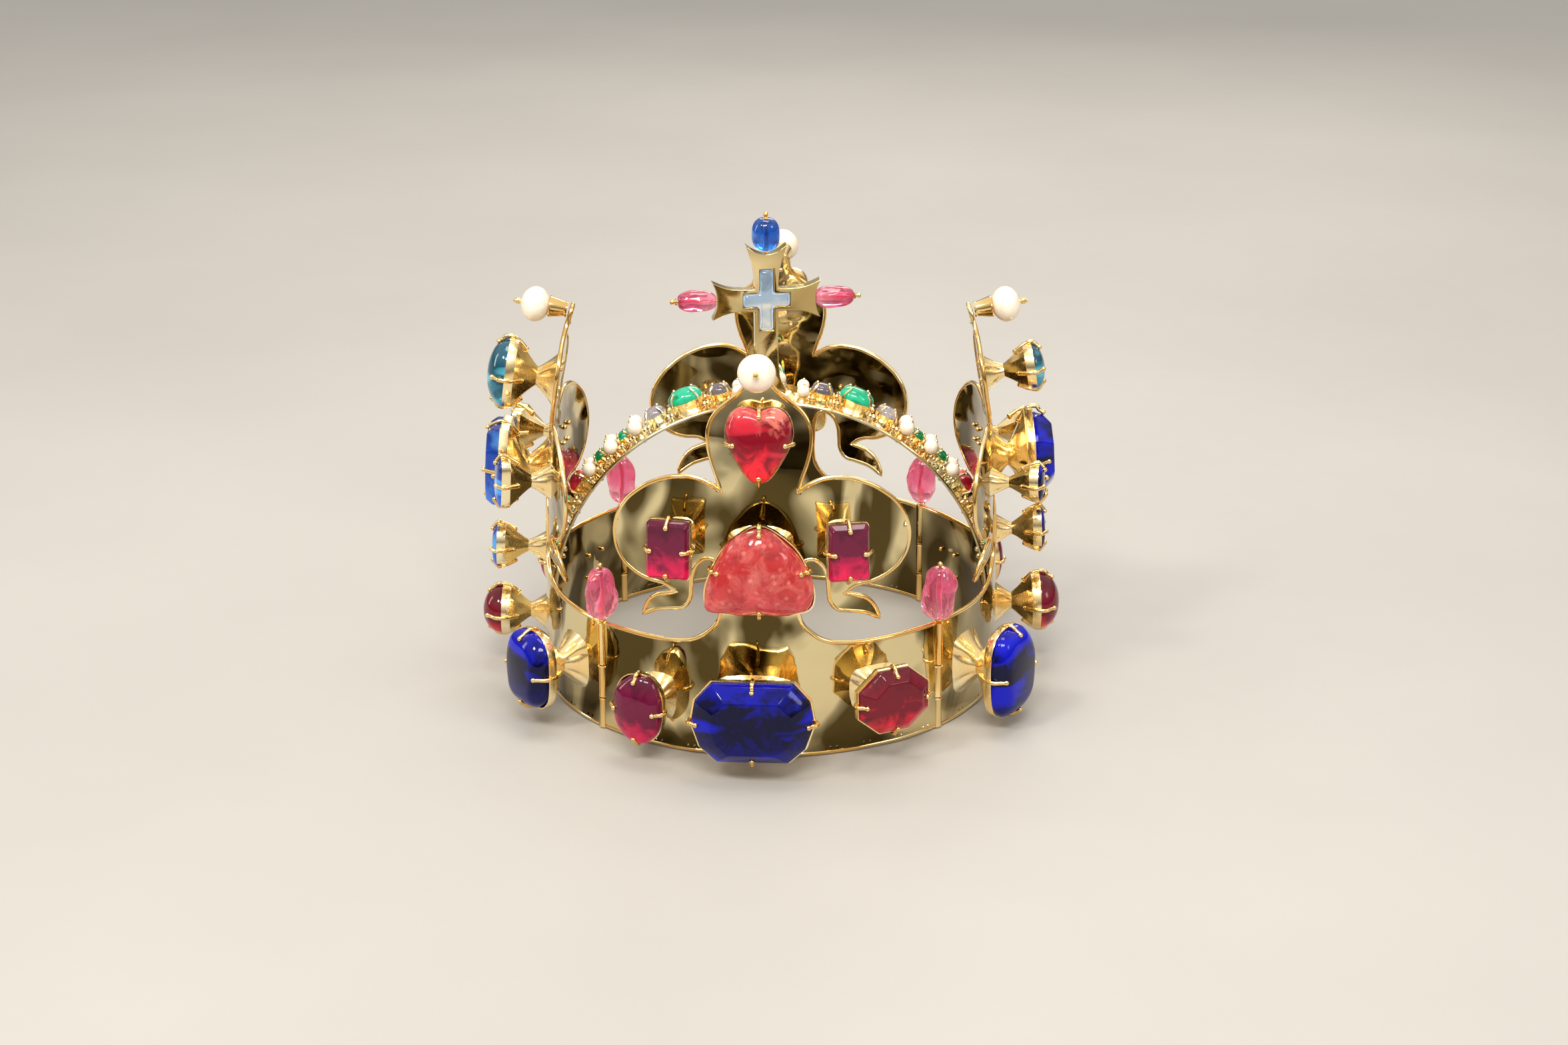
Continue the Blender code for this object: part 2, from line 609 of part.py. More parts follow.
def make_cross(crown, cutters, materials):
    gold = materials["gold"]
    half = CROSS_DEPTH / 2
    middle = Vector((0, 0, CROSS_MIDDLE))
    wires = [
        (Vector((CROSS_REACH - 3.0, 0, CROSS_MIDDLE)), Vector((38.0, 0, CROSS_MIDDLE))),
        (Vector((3.0 - CROSS_REACH, 0, CROSS_MIDDLE)), Vector((-38.0, 0, CROSS_MIDDLE))),
        (Vector((0, 0, CROSS_TOP - 3.0)), Vector((0, 0, CROSS_TOP + 15.8))),
    ]
    shapes = [shape_of(slab, curve_points(cross_edge(), 3), -half, half)]
    for start, end in wires:
        shapes.append(shape_of(cylinder, WIRE_RADIUS, start, end, 8))
        shapes.append(shape_of(ball_shape, end, 1.0))
    pieces = join_shapes("top_cross", shapes, crown, cutters, gold)
    window = add_helper("cross_window", shape_of(cross_bars, GAP, -half - 2.0, -0.8), cutters, gold)
    add_boolean(pieces[0], "DIFFERENCE", window)
    inset = shape_of(cross_bars, 0.0, -half - 0.6, -0.8 - GAP)
    pieces += [window, add_object("cross_inset", inset, crown, materials["crystal"])]
    beads = [
        ("cross_left_bead", middle - Vector((CROSS_REACH + GAP, 0, 0)), Vector((-1, 0, 0)), 15.4, 10.0),
        ("cross_right_bead", middle + Vector((CROSS_REACH + GAP, 0, 0)), Vector((1, 0, 0)), 15.4, 10.0),
    ]
    for name, start, direction, length, width in beads:
        frame = frame_along(start, direction)
        pink = materials["spinel_pink"]
        pieces += make_bead(name, frame, length, width, 0.9, 0.04, 0.5, crown, cutters, pink)
    top = frame_along(Vector((0, 0, CROSS_TOP + 1.3)), Vector((0, 0, 1)))
    sapphire = materials["sapphire_blue"]
    pieces += make_bead("cross_top_bead", top, 13.0, 11.4, 0.95, 0.0, 0.0, crown, cutters, sapphire)
    stand = bpy.data.objects.new("cross_stand", None)
    stand.location = (CROSS_SHIFT * MM, 0.0, 0.0)
    stand.rotation_euler.z = math.radians(CROSS_TURN)
    crown.objects.link(stand)
    for piece in pieces:
        piece.parent = stand


def main():
    for obj in list(bpy.data.objects):
        bpy.data.objects.remove(obj)
    crown = make_collection("crown")
    cutters = make_collection("cutters")
    materials = make_materials()
    for side in PANELS:
        make_panel(side, crown, cutters, materials)
    make_hinge_pins(crown, cutters, materials)
    make_pearls(crown, cutters, materials)
    make_arches(crown, materials)
    make_boss(crown, materials["gold"])
    make_cross(crown, cutters, materials)


main()
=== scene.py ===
"""Looks of the arched crown: sheets, rims, collets, claws, stones, pearls and arches round the CAD frame."""

import json
from math import acos, atan2, copysign, cos, pi, radians, sin

import bmesh
import bpy
from mathutils import Matrix, Vector, noise


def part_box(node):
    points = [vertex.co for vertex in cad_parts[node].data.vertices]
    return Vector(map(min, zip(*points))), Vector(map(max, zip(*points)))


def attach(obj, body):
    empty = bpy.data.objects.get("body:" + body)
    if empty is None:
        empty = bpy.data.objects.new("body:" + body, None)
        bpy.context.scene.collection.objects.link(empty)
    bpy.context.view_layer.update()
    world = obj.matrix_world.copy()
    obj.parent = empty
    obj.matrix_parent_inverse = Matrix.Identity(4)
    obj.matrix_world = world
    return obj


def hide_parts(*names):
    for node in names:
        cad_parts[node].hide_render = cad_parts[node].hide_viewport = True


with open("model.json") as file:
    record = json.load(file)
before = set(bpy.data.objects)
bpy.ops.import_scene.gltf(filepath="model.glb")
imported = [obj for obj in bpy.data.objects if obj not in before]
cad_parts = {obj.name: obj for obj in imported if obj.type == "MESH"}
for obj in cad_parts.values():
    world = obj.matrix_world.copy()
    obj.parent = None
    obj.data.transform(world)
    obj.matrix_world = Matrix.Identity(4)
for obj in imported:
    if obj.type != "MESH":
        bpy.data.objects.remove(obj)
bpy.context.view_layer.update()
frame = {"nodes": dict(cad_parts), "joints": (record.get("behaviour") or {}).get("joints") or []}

MM = 0.001
ROOT = "crown_body"

# The frame's own dimensions, in millimetres
BAND_RADIUS = 95.0
BAND_HEIGHT = 45.4
BAND_FOOT = 4.0
HINGE_RADIUS = 94.0
KNUCKLE_RADIUS = 1.9
PIN_BORE = 1.0
KNUCKLE_SPLITS = (13.0, 27.0)
GAP = 0.3
LILY_TIP = 157.5
LILY_SPREAD = 78.0
LILY_CURL = 0.58
ARCH_SPAN, ARCH_RISE, ARCH_CENTRE = 89.6, 88.0, 27.6
ARCH_WIDTH, ARCH_THICKNESS = 14.0, 1.6
ARCH_TOP = ARCH_CENTRE + ARCH_RISE + ARCH_THICKNESS
PANELS = {"front": 0, "right": 90, "back": 180, "left": 270}
LILY_SHIFT = {"front": -4.0, "right": 0.0, "back": -4.0, "left": 0.0}

# The sheet's thickness, how far its face lies under the CAD one, and the radius of its rim
SHEET = 1.2
SHEET_FACE = -0.1
RIM = 0.95
MERGE = 0.0001
FINE = 3.0


# Surfaces of the frame


def band_radius(height):
    risen = max(height - BAND_FOOT, 0.0)
    return BAND_RADIUS - 0.031 * risen - 12.5 * (risen / 160.0) ** 5


def curl(height):
    """How far the sheet is rolled round the crown: fully at the band, while the lily is nearly flat."""
    share = min(max((height - BAND_HEIGHT) / (LILY_SPREAD - BAND_HEIGHT), 0.0), 1.0)
    return 1.0 - (1.0 - LILY_CURL) * share * share * (3.0 - 2.0 * share)


def on_panel(side, across, height, out=0.0):
    angle = across / band_radius(max(height, BAND_HEIGHT))
    rolled = curl(height)
    outward = Vector((rolled * sin(angle), -cos(angle), 0)).normalized()
    radius = band_radius(height)
    point = Vector((radius * sin(angle), -radius * (1 - rolled * (1 - cos(angle))), height))
    return Matrix.Rotation(radians(PANELS[side]), 3, "Z") @ (point + out * outward)


def panel_frame(side, across, height):
    """A frame on the panel's outer face: X across, Y up the plate, Z outwards."""
    here = on_panel(side, across, height)
    right = (on_panel(side, across + 0.1, height) - here).normalized()
    up = (on_panel(side, across, height + 0.1) - here).normalized()
    out = right.cross(up).normalized()
    up = out.cross(right)
    made = Matrix((right, up, out)).transposed().to_4x4()
    made.translation = here
    return made


def beaten(side, across, height):
    """How far the hand-raised sheet swells out of true, in millimetres."""
    place = Vector((across / 26.0, height / 21.0, PANELS[side] * 0.37))
    return 0.55 * noise.noise(place) + 0.16 * noise.noise(place * 2.7)


def sheet_point(side, across, height, out):
    """A point of the beaten sheet, and the direction out of it."""
    step = 0.4
    here = on_panel(side, across, height, beaten(side, across, height))
    right = on_panel(side, across + step, height, beaten(side, across + step, height)) - here
    up = on_panel(side, across, height + step, beaten(side, across, height + step)) - here
    normal = right.cross(up).normalized()
    return here + out * normal, normal


def arch_point(turn, out=0.0, across=0.0):
    """A point of the side-to-side arch, and the direction out of it: turn is 0 at the right foot."""
    normal = Vector((cos(turn) / ARCH_SPAN, 0, sin(turn) / ARCH_RISE)).normalized()
    middle = Vector((ARCH_SPAN * cos(turn), across, ARCH_CENTRE + ARCH_RISE * sin(turn)))
    return middle + out * normal, normal


# Mesh helpers


def finish_mesh(name, mesh, materials, body=ROOT, place=None):
    mesh.transform(Matrix.Scale(MM, 4))
    for material in materials if isinstance(materials, (list, tuple)) else [materials]:
        mesh.materials.append(material)
    obj = show(name, mesh)
    if place is not None:
        moved = place.copy()
        moved.translation = place.translation * MM
        obj.matrix_world = moved
    bpy.context.view_layer.update()
    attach(obj, body)
    return obj


def add_bmesh(name, bm, materials, body=ROOT, place=None, sharp=50):
    """A piece from a bmesh in millimetres. sharp is the angle in degrees over which an edge stays crisp."""
    bmesh.ops.recalc_face_normals(bm, faces=bm.faces)
    mesh = bpy.data.meshes.new(name)
    bm.to_mesh(mesh)
    bm.free()
    mesh.shade_smooth()
    mesh.set_sharp_from_angle(angle=radians(sharp))
    return finish_mesh(name, mesh, materials, body, place)


def show(name, data):
    obj = bpy.data.objects.new(name, data)
    bpy.context.scene.collection.objects.link(obj)
    return obj


def final_mesh(obj):
    """The mesh of an object with its modifiers, or of a curve once it is filled."""
    graph = bpy.context.evaluated_depsgraph_get()
    return bpy.data.meshes.new_from_object(obj.evaluated_get(graph))


def rise(height):
    return Vector((0, 0, height))


def turns_of(count):
    return [2 * pi * i / count for i in range(count)]


def circle(count):
    """Points of a circle of radius 1."""
    return [Vector((cos(turn), sin(turn), 0)) for turn in turns_of(count)]


def spline_point(a, b, c, d, t):
    """A point between b and c on a smooth path through a, b, c and d."""
    return 0.5 * (2 * b + (c - a) * t + (2 * a - 5 * b + 4 * c - d) * t**2 + (3 * b - a - 3 * c + d) * t**3)


def loft(bm, rings, closed=True):
    """Faces between the rings, and over the first and the last one where the shape is closed."""
    layers = [[bm.verts.new(point) for point in ring] for ring in rings]
    count = len(layers[0])
    for low, high in zip(layers, layers[1:]):
        for i in range(count):
            j = (i + 1) % count
            bm.faces.new((low[i], low[j], high[j], high[i]))
    for layer in (layers[0], layers[-1]) if closed else ():
        bm.faces.new(layer)


def frame_along(start, direction):
    made = direction.to_track_quat("Z", "Y").to_matrix().to_4x4()
    made.translation = start
    return made


def turned(bm, place, profile, sides=24):
    """A turned shape about the Z axis of a frame, from (radius, height) pairs."""
    rings = []
    for radius, height in profile:
        rings.append([place @ Vector((radius * way.x, radius * way.y, height)) for way in circle(sides)])
    loft(bm, rings)


def ball(bm, centre, radius, detail=12):
    place = Matrix.Translation(centre)
    bmesh.ops.create_uvsphere(bm, u_segments=detail, v_segments=detail * 2 // 3, radius=radius, matrix=place)


def tube(bm, points, radii, sides=8):
    """A round wire along points, with one radius for each point."""
    points = [Vector(point) for point in points]
    normal = None
    rings = []
    for i, point in enumerate(points):
        along = (points[min(i + 1, len(points) - 1)] - points[max(i - 1, 0)]).normalized()
        if normal is None:
            normal = along.orthogonal().normalized()
        normal = (normal - along * normal.dot(along)).normalized()
        other = along.cross(normal)
        rings.append([point + radii[i] * (way.x * normal + way.y * other) for way in circle(sides)])
    loft(bm, rings)


def smooth_path(points, steps):
    """A Catmull-Rom path through the points."""
    points = [Vector(point) for point in points]
    padded = [2 * points[0] - points[1], *points, 2 * points[-1] - points[-2]]
    path = []
    for a, b, c, d in zip(padded, padded[1:], padded[2:], padded[3:]):
        for i in range(steps):
            path.append(spline_point(a, b, c, d, i / steps))
    return path + [points[-1]]


# Materials


class Nodes:
    """A small help to build a node material."""

    def __init__(self, name):
        self.material = bpy.data.materials.new(name)
        self.material.use_nodes = True
        self.tree = self.material.node_tree
        self.shader = self.tree.nodes["Principled BSDF"]

    def add(self, kind, inputs=None, **settings):
        node = self.tree.nodes.new(kind)
        for key, value in settings.items():
            setattr(node, key, value)
        for key, value in (inputs or {}).items():
            if isinstance(value, bpy.types.NodeSocket):
                self.tree.links.new(value, node.inputs[key])
            else:
                node.inputs[key].default_value = value
        return node

    def set(self, **values):
        for key, value in values.items():
            socket = self.shader.inputs[key.replace("_", " ")]
            if isinstance(value, bpy.types.NodeSocket):
                self.tree.links.new(value, socket)
            else:
                socket.default_value = value
        return self.material

    def noise(self, where, scale, detail=3.0, rough=0.5, distortion=0.0):
        values = {"Vector": where, "Scale": scale, "Detail": detail, "Roughness": rough}
        values["Distortion"] = distortion
        return self.add("ShaderNodeTexNoise", values).outputs["Fac"]

    def ramp(self, fac, *stops):
        node = self.add("ShaderNodeValToRGB", {"Fac": fac})
        elements = node.color_ramp.elements
        while len(elements) < len(stops):
            elements.new(0.5)
        for element, (position, colour) in zip(elements, stops):
            element.position = position
            element.color = (*colour, 1.0)
        return node.outputs["Color"]

    def mix(self, fac, under, over, **settings):
        return self.add("ShaderNodeMix", {0: fac, 6: under, 7: over}, data_type="RGBA", **settings).outputs[2]

    def stretched(self, where, *scale):
        return self.add("ShaderNodeMapping", {"Vector": where, "Scale": scale}).outputs["Vector"]

    def spread(self, fac, low, high, from_low=0.0, from_high=1.0):
        values = {"Value": fac, "To Min": low, "To Max": high, "From Min": from_low, "From Max": from_high}
        return self.add("ShaderNodeMapRange", values).outputs["Result"]

    def bump(self, height, strength, distance, under=None):
        values = {"Height": height, "Strength": strength, "Distance": distance}
        if under is not None:
            values["Normal"] = under
        return self.add("ShaderNodeBump", values).outputs["Normal"]

    def coordinates(self, kind="Object"):
        return self.add("ShaderNodeTexCoord").outputs[kind]


def gold_material(name, deep, light, polish=0.05, wave=0.5, reflection_streak=0.0):
    """Polished gold: tones drifting over the metal as painted reflections, dark and pale and stretched
    upright on the sheet, a painted sheen paler towards glancing angles, faint rubbing marks, and the hammer's
    slow swell.
    """
    n = Nodes(name)
    where = n.coordinates()
    upright = n.stretched(where, 1.0, 1.0, 1.0 - 0.35 * reflection_streak)
    # Painted reflections: dark and pale gold tones from noise, stretched upright by the streak amount
    painted_reflection_tones = n.noise(upright, 34.0 - 10.0 * reflection_streak, 1.0 + reflection_streak, 0.35, 1.9 * reflection_streak + 0.3)
    between = tuple(0.6 * a + 0.4 * b for a, b in zip(deep, light))
    tone = n.ramp(painted_reflection_tones, (0.42, deep), (0.52, between), (0.60, light))
    # Painted sheen: the colour turns pale gold towards glancing angles
    edge = n.add("ShaderNodeLayerWeight", {"Blend": 0.25}).outputs["Facing"]
    painted_glancing_sheen = n.ramp(edge, (0.45, (0, 0, 0)), (1.0, (1, 1, 1)))
    tone = n.mix(painted_glancing_sheen, tone, (1.0, 0.80, 0.46, 1.0))
    rubbed = n.noise(n.stretched(where, 1.0, 1.0, 7.0), 900.0, 4.0)
    polish_map = n.spread(rubbed, polish * 0.6, polish * 2.2, 0.3, 0.8)
    slow = n.bump(n.noise(where, 62.0, 1.5), wave, 0.0006)
    fine = n.bump(rubbed, 0.05, 0.00002, slow)
    return n.set(Base_Color=tone, Metallic=1.0, Roughness=polish_map, Normal=fine)


def gem_material(name, deep, painted_underglow, clear, ior, painted_glow, mottle=None, painted_flash=None, top=None):
    """A polished stone with painted light: its colour graded from a painted bright lower edge to painted
    shade or a painted reflection at the top, with veils, painted flashes and a painted glow though it is no
    lamp.
    """
    n = Nodes(name)
    made = n.coordinates("Generated")
    where = n.coordinates("Object")
    height = n.add("ShaderNodeSeparateXYZ", {"Vector": made}).outputs["Z"]
    veil = n.noise(where, 95.0, 4.0, 0.6, 1.4)
    shifted = n.add("ShaderNodeMath", {0: height, 1: n.spread(veil, -0.26, 0.26, 0.3, 0.7)}, operation="ADD")
    # Painted light by height: the lower edge painted bright where light through the stone would gather, the
    # stone's own colour in the middle, and the upper edge painted darker as shade unless a paler painted
    # reflection colour is given
    top = top or tuple(c * 0.6 for c in deep)
    colour = n.ramp(shifted.outputs["Value"], (0.05, painted_underglow), (0.45, deep), (0.72, deep), (1.0, top))
    if mottle is not None:
        cells = n.add("ShaderNodeTexVoronoi", {"Vector": where, "Scale": 260.0, "Randomness": 1.0})
        spots = n.ramp(cells.outputs["Distance"], (0.08, (1, 1, 1)), (0.30, (0, 0, 0)))
        cloud = n.ramp(n.noise(where, 130.0, 5.0, 0.7, 0.8), (0.46, (0, 0, 0)), (0.70, (0.8, 0.8, 0.8)))
        both = n.mix(0.6, spots, cloud)
        colour = n.mix(both, colour, (*mottle, 1.0))
    # Painted flashes: streaks of a lighter colour
    if painted_flash is not None:
        lain = n.stretched(where, 0.4, 0.4, 1.6)
        reflection_streak = n.ramp(n.noise(lain, 95.0, 1.0, 0.4, 0.3), (0.54, (0, 0, 0)), (0.66, (1, 1, 1)))
        colour = n.mix(reflection_streak, colour, (*painted_flash, 1.0))
    rough = n.spread(n.noise(where, 420.0, 3.0), 0.03, 0.075, 0.35, 0.75)
    skin = n.bump(n.noise(where, 190.0, 2.0), 0.12, 0.0003)
    n.set(Base_Color=colour, Roughness=rough, Normal=skin, IOR=ior, Transmission_Weight=clear)
    n.set(Specular_IOR_Level=0.3, Coat_Weight=0.10, Coat_Roughness=0.02)
    # Painted glow: the stone's colour also emits light, though it is no lamp
    return n.set(Emission_Color=colour, Emission_Strength=painted_glow)


def pearl_material(name):
    n = Nodes(name)
    where = n.coordinates()
    cloud = n.noise(where, 260.0, 4.0, 0.6)
    body = n.ramp(cloud, (0.35, (0.92, 0.84, 0.70)), (0.65, (0.99, 0.94, 0.84)))
    # Painted sheen and shade: paler where the pearl faces the viewer, turning pink and then darker grey-green
    # towards the rim
    facing = n.add("ShaderNodeLayerWeight", {"Blend": 0.35}).outputs["Facing"]
    painted_orient_sheen = n.ramp(facing, (0.0, (1.0, 0.98, 0.94)), (0.6, (0.98, 0.86, 0.80)), (1.0, (0.78, 0.80, 0.74)))
    tone = n.mix(1.0, body, painted_orient_sheen, blend_type="MULTIPLY")
    rough = n.spread(n.noise(where, 900.0), 0.16, 0.3)
    dents = n.bump(n.noise(where, 420.0, 3.0), 0.15, 0.0003)
    n.set(Base_Color=tone, Roughness=rough, Normal=dents, Subsurface_Weight=0.25, Subsurface_Scale=0.002)
    return n.set(Coat_Weight=0.7, Coat_Roughness=0.08, IOR=1.6)


def floor_material():
    n = Nodes("pale_floor")
    where = n.coordinates()
    tone = n.ramp(n.noise(where, 3.0, 4.0), (0.3, (0.36, 0.345, 0.326)), (0.7, (0.395, 0.38, 0.36)))
    rough = n.spread(n.noise(where, 60.0), 0.6, 0.75)
    return n.set(Base_Color=tone, Roughness=rough, Normal=n.bump(n.noise(where, 500.0), 0.08, 0.0005))


# The sheet gold is painted dark with pale patches, as painted dark reflections and painted highlights, while
# the collet and arch golds are paler lit copies of the same gold
GOLD = gold_material("sheet_gold", (0.10, 0.070, 0.022), (0.78, 0.66, 0.37), 0.035, 0.5, 1.0)
BRIGHT_GOLD = gold_material("wire_gold", (0.86, 0.54, 0.18), (1.0, 0.78, 0.38), 0.07, 0.2)
COLLET_GOLD = gold_material("collet_gold", (1.0, 0.74, 0.34), (1.0, 0.91, 0.62), 0.16, 0.25)
ARCH_GOLD = gold_material("arch_gold", (1.0, 0.76, 0.38), (1.0, 0.92, 0.66), 0.15, 0.4)
CROSS_GOLD = gold_material("cross_gold", (0.55, 0.40, 0.16), (0.90, 0.74, 0.40), 0.08, 0.4)
# Each stone's colours: material, deep, bright at the lower edge as painted glow, how clear, refraction,
# painted emission glow, then the colours of its mottling, its painted flashes and its upper edge's painted
# reflection where they differ
GEM_LOOKS = {
    "ruby_red": ("ruby", (0.15, 0.003, 0.014), (0.72, 0.012, 0.035), 0.2, 1.5, 0.14),
    "heart_red": ("heart", (0.20, 0.005, 0.014), (0.95, 0.015, 0.035), 0.2, 1.5, 0.22, None,
                  (0.55, 0.02, 0.04), (0.62, 0.16, 0.12)),
    "garnet": ("garnet", (0.13, 0.005, 0.035), (0.68, 0.010, 0.08), 0.15, 1.48, 0.14),
    "rose_quartz": ("rose_stone", (0.42, 0.028, 0.03), (0.66, 0.06, 0.07), 0.15, 1.6, 0.14,
                    (0.80, 0.26, 0.22)),
    "spinel_pink": ("pink_bead", (0.84, 0.16, 0.30), (1.0, 0.46, 0.58), 0.85, 1.5, 0.08),
    "sapphire_blue": ("cobalt", (0.0002, 0.0003, 0.022), (0.001, 0.002, 0.13), 0.12, 1.4, 0.22, None,
                      (0.003, 0.006, 0.42), (0.002, 0.004, 0.27)),
    "light_blue": ("light_blue", (0.008, 0.05, 0.36), (0.03, 0.22, 0.85), 0.35, 1.55, 0.16, None,
                   (0.10, 0.45, 1.0)),
    "azure": ("azure", (0.01, 0.09, 0.45), (0.06, 0.34, 0.95), 0.8, 1.5, 0.12, None, (0.35, 0.6, 1.0)),
    "aquamarine": ("aquamarine", (0.008, 0.09, 0.15), (0.03, 0.36, 0.55), 0.4, 1.6, 0.1, None,
                   (0.15, 0.65, 0.85)),
    "emerald": ("emerald", (0.0, 0.17, 0.05), (0.015, 0.70, 0.26), 0.4, 1.55, 0.28, None, None,
                (0.02, 0.5, 0.3)),
    "clear": ("clear_stone", (0.42, 0.36, 0.44), (0.80, 0.78, 0.82), 0.7, 1.6, 0.05),
    "crystal": ("crystal", (0.56, 0.72, 0.95), (0.88, 0.94, 1.0), 0.85, 1.45, 0.12, None,
                (0.97, 0.99, 1.0)),
}
GEMS = {word: gem_material(*look) for word, look in GEM_LOOKS.items()}
PEARL = pearl_material("pearl")


# Sheet panels


# One half of a lily's edge from the band up to the tip: across and height, and which points are corners
HALF_LILY = [
    (60.0, 45.0), (46.0, 45.2), (32.0, 46.1), (25.0, 47.9), (19.8, 51.5), (16.3, 55.6), (14.8, 61.0),
    (14.8, 70.0), (15.2, 76.5), (16.8, 80.4), (19.8, 81.6), (23.4, 79.8), (26.0, 75.4), (26.8, 69.5),
    (27.4, 64.4), (30.0, 60.8), (35.0, 59.5), (41.5, 58.0), (48.0, 54.6), (45.7, 60.0), (42.2, 63.8),
    (37.6, 65.6), (32.6, 66.9), (37.6, 69.9), (45.0, 71.1), (52.0, 74.0), (57.8, 78.8), (60.8, 85.5),
    (60.3, 93.0), (56.3, 100.2), (49.6, 106.0), (41.0, 110.6), (31.5, 112.9), (22.5, 112.3), (14.4, 108.0),
    (15.8, 112.8), (18.2, 119.6), (19.6, 126.4), (19.2, 132.6), (16.4, 137.9), (11.4, 142.2), (6.8, 145.9),
    (3.8, 150.0), (3.0, 154.0),
]
LILY_CORNERS = {18, 22, 34}
QUARTER = pi / 4 * band_radius(BAND_HEIGHT)
PANEL_END = QUARTER - KNUCKLE_RADIUS + 0.2
EDGE_BOTTOM = 1.0
RIM_INSET, TIP_INSET = 0.6, 1.2


def panel_edges(side):
    """The panel's upper edge, from its right end to its left one, and its lower edge, as flat points."""
    shift = LILY_SHIFT[side]
    half = [(x, z, i in LILY_CORNERS) for i, (x, z) in enumerate(HALF_LILY)]
    top = [(PANEL_END, BAND_HEIGHT - RIM_INSET, True)]
    top += [(x + shift, z, corner) for x, z, corner in half]
    top.append((shift, LILY_TIP - TIP_INSET, False))
    top += [(-x + shift, z, corner) for x, z, corner in reversed(half)]
    top.append((-PANEL_END, BAND_HEIGHT - RIM_INSET, True))
    bottom = [(-PANEL_END, EDGE_BOTTOM, True), (PANEL_END, EDGE_BOTTOM, True)]
    return top, bottom


def bezier(points, cyclic, resolution):
    """The points along a curve that is smooth except at its corners."""
    curve = bpy.data.curves.new("edge", "CURVE")
    curve.dimensions = "2D"
    curve.fill_mode = "NONE"
    curve.resolution_u = resolution
    spline = curve.splines.new("BEZIER")
    spline.use_cyclic_u = cyclic
    spline.bezier_points.add(len(points) - 1)
    for knot, (x, y, corner) in zip(spline.bezier_points, points):
        knot.co = (x, y, 0)
        knot.handle_left_type = knot.handle_right_type = "VECTOR" if corner else "AUTO"
    guide = show("edge", curve)
    mesh = final_mesh(guide)
    found = [Vector(vertex.co) for vertex in mesh.vertices]
    bpy.data.objects.remove(guide)
    return [point for i, point in enumerate(found) if i == 0 or (point - found[i - 1]).length > 0.05]


HOLE_RADIUS = 0.55
HOLE_HEIGHT = 2.9
HOLE_PAIRS = [-59.0, -45.0, -31.0, -17.0, -3.0, 11.0, 25.0, 39.0, 53.0, 66.0]
HOLE_STEP = 2.6


def sewing_holes():
    """Pairs of small holes along the lower edge, where a lining was once sewn in."""
    loops = []
    for pair in HOLE_PAIRS:
        for x in (pair - HOLE_STEP / 2, pair + HOLE_STEP / 2):
            loops.append([(x + HOLE_RADIUS * way.x, HOLE_HEIGHT + HOLE_RADIUS * way.y) for way in circle(10)])
    return loops


def flat_sheet(outline, holes):
    """The filled outline with its holes, cut by a grid fine enough to bend."""
    curve = bpy.data.curves.new("sheet", "CURVE")
    curve.dimensions = "2D"
    curve.fill_mode = "BOTH"
    for loop in [outline, *holes]:
        spline = curve.splines.new("POLY")
        spline.use_cyclic_u = True
        spline.points.add(len(loop) - 1)
        for knot, point in zip(spline.points, loop):
            knot.co = (point[0], point[1], 0, 1)
    guide = show("sheet", curve)
    mesh = final_mesh(guide)
    bpy.data.objects.remove(guide)
    bm = bmesh.new()
    bm.from_mesh(mesh)
    bmesh.ops.remove_doubles(bm, verts=bm.verts, dist=10 * MERGE)
    for axis, low, high in ((0, -72.0, 72.0), (1, 3.0, 156.0)):
        place = low
        while place <= high:
            at, normal = [0, 0, 0], [0, 0, 0]
            at[axis], normal[axis] = place, 1
            bmesh.ops.bisect_plane(bm, geom=[*bm.verts, *bm.edges, *bm.faces], plane_co=at, plane_no=normal)
            place += FINE
    return bm


def bent_sheet(name, side, flat):
    """Both faces of the beaten sheet and its edges, shaded by the true surface."""
    outer, inner = SHEET_FACE, SHEET_FACE - SHEET
    flat.verts.ensure_lookup_table()
    count = len(flat.verts)
    points, normals = [], []
    for out in (outer, inner):
        for vert in flat.verts:
            point, normal = sheet_point(side, vert.co.x, vert.co.y, out)
            points.append(point)
            normals.append(normal if out == outer else -normal)
    faces, loops = [], []
    for face in flat.faces:
        ring = [vert.index for vert in face.verts]
        if face.normal.z < 0:
            ring.reverse()
        faces.append(ring)
        faces.append([i + count for i in reversed(ring)])
        loops += [normals[i] for i in ring] + [normals[i + count] for i in reversed(ring)]
    for edge in flat.edges:
        if len(edge.link_faces) == 1:
            a, b = (vert.index for vert in edge.verts)
            ring = [vert.index for vert in edge.link_faces[0].verts]
            if edge.link_faces[0].normal.z < 0:
                ring.reverse()
            if ring[(ring.index(a) + 1) % len(ring)] != b:
                a, b = b, a
            quad = [b, a, a + count, b + count]
            faces.append(quad)
            first, second, third = (points[i] for i in quad[:3])
            loops += [(second - first).cross(third - second).normalized()] * 4
    mesh = bpy.data.meshes.new(name)
    mesh.from_pydata(points, [], faces)
    mesh.shade_smooth()
    mesh.normals_split_custom_set(loops)
    return finish_mesh(name, mesh, GOLD)


def make_panel(side):
    top, bottom = panel_edges(side)
    upper = bezier(top, False, 5)
    lower = [Vector((x, z, 0)) for x, z, _ in bottom]
    flat = flat_sheet([*upper, *lower], sewing_holes())
    sheet = bent_sheet(f"{side}_sheet", side, flat)
    flat.free()
    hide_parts(f"{side}_panel")
    steps = 40
    lower_path = [(-PANEL_END + 2 * PANEL_END * i / steps, EDGE_BOTTOM) for i in range(steps + 1)]
    for word, path in (("top", [(p.x, p.y) for p in upper]), ("foot", lower_path)):
        points = [sheet_point(side, x, z, SHEET_FACE - SHEET / 2)[0] for x, z in path]
        bm = bmesh.new()
        tube(bm, points, [RIM] * len(points), 10)
        rim = add_bmesh(f"{side}_{word}_rim", bm, BRIGHT_GOLD)


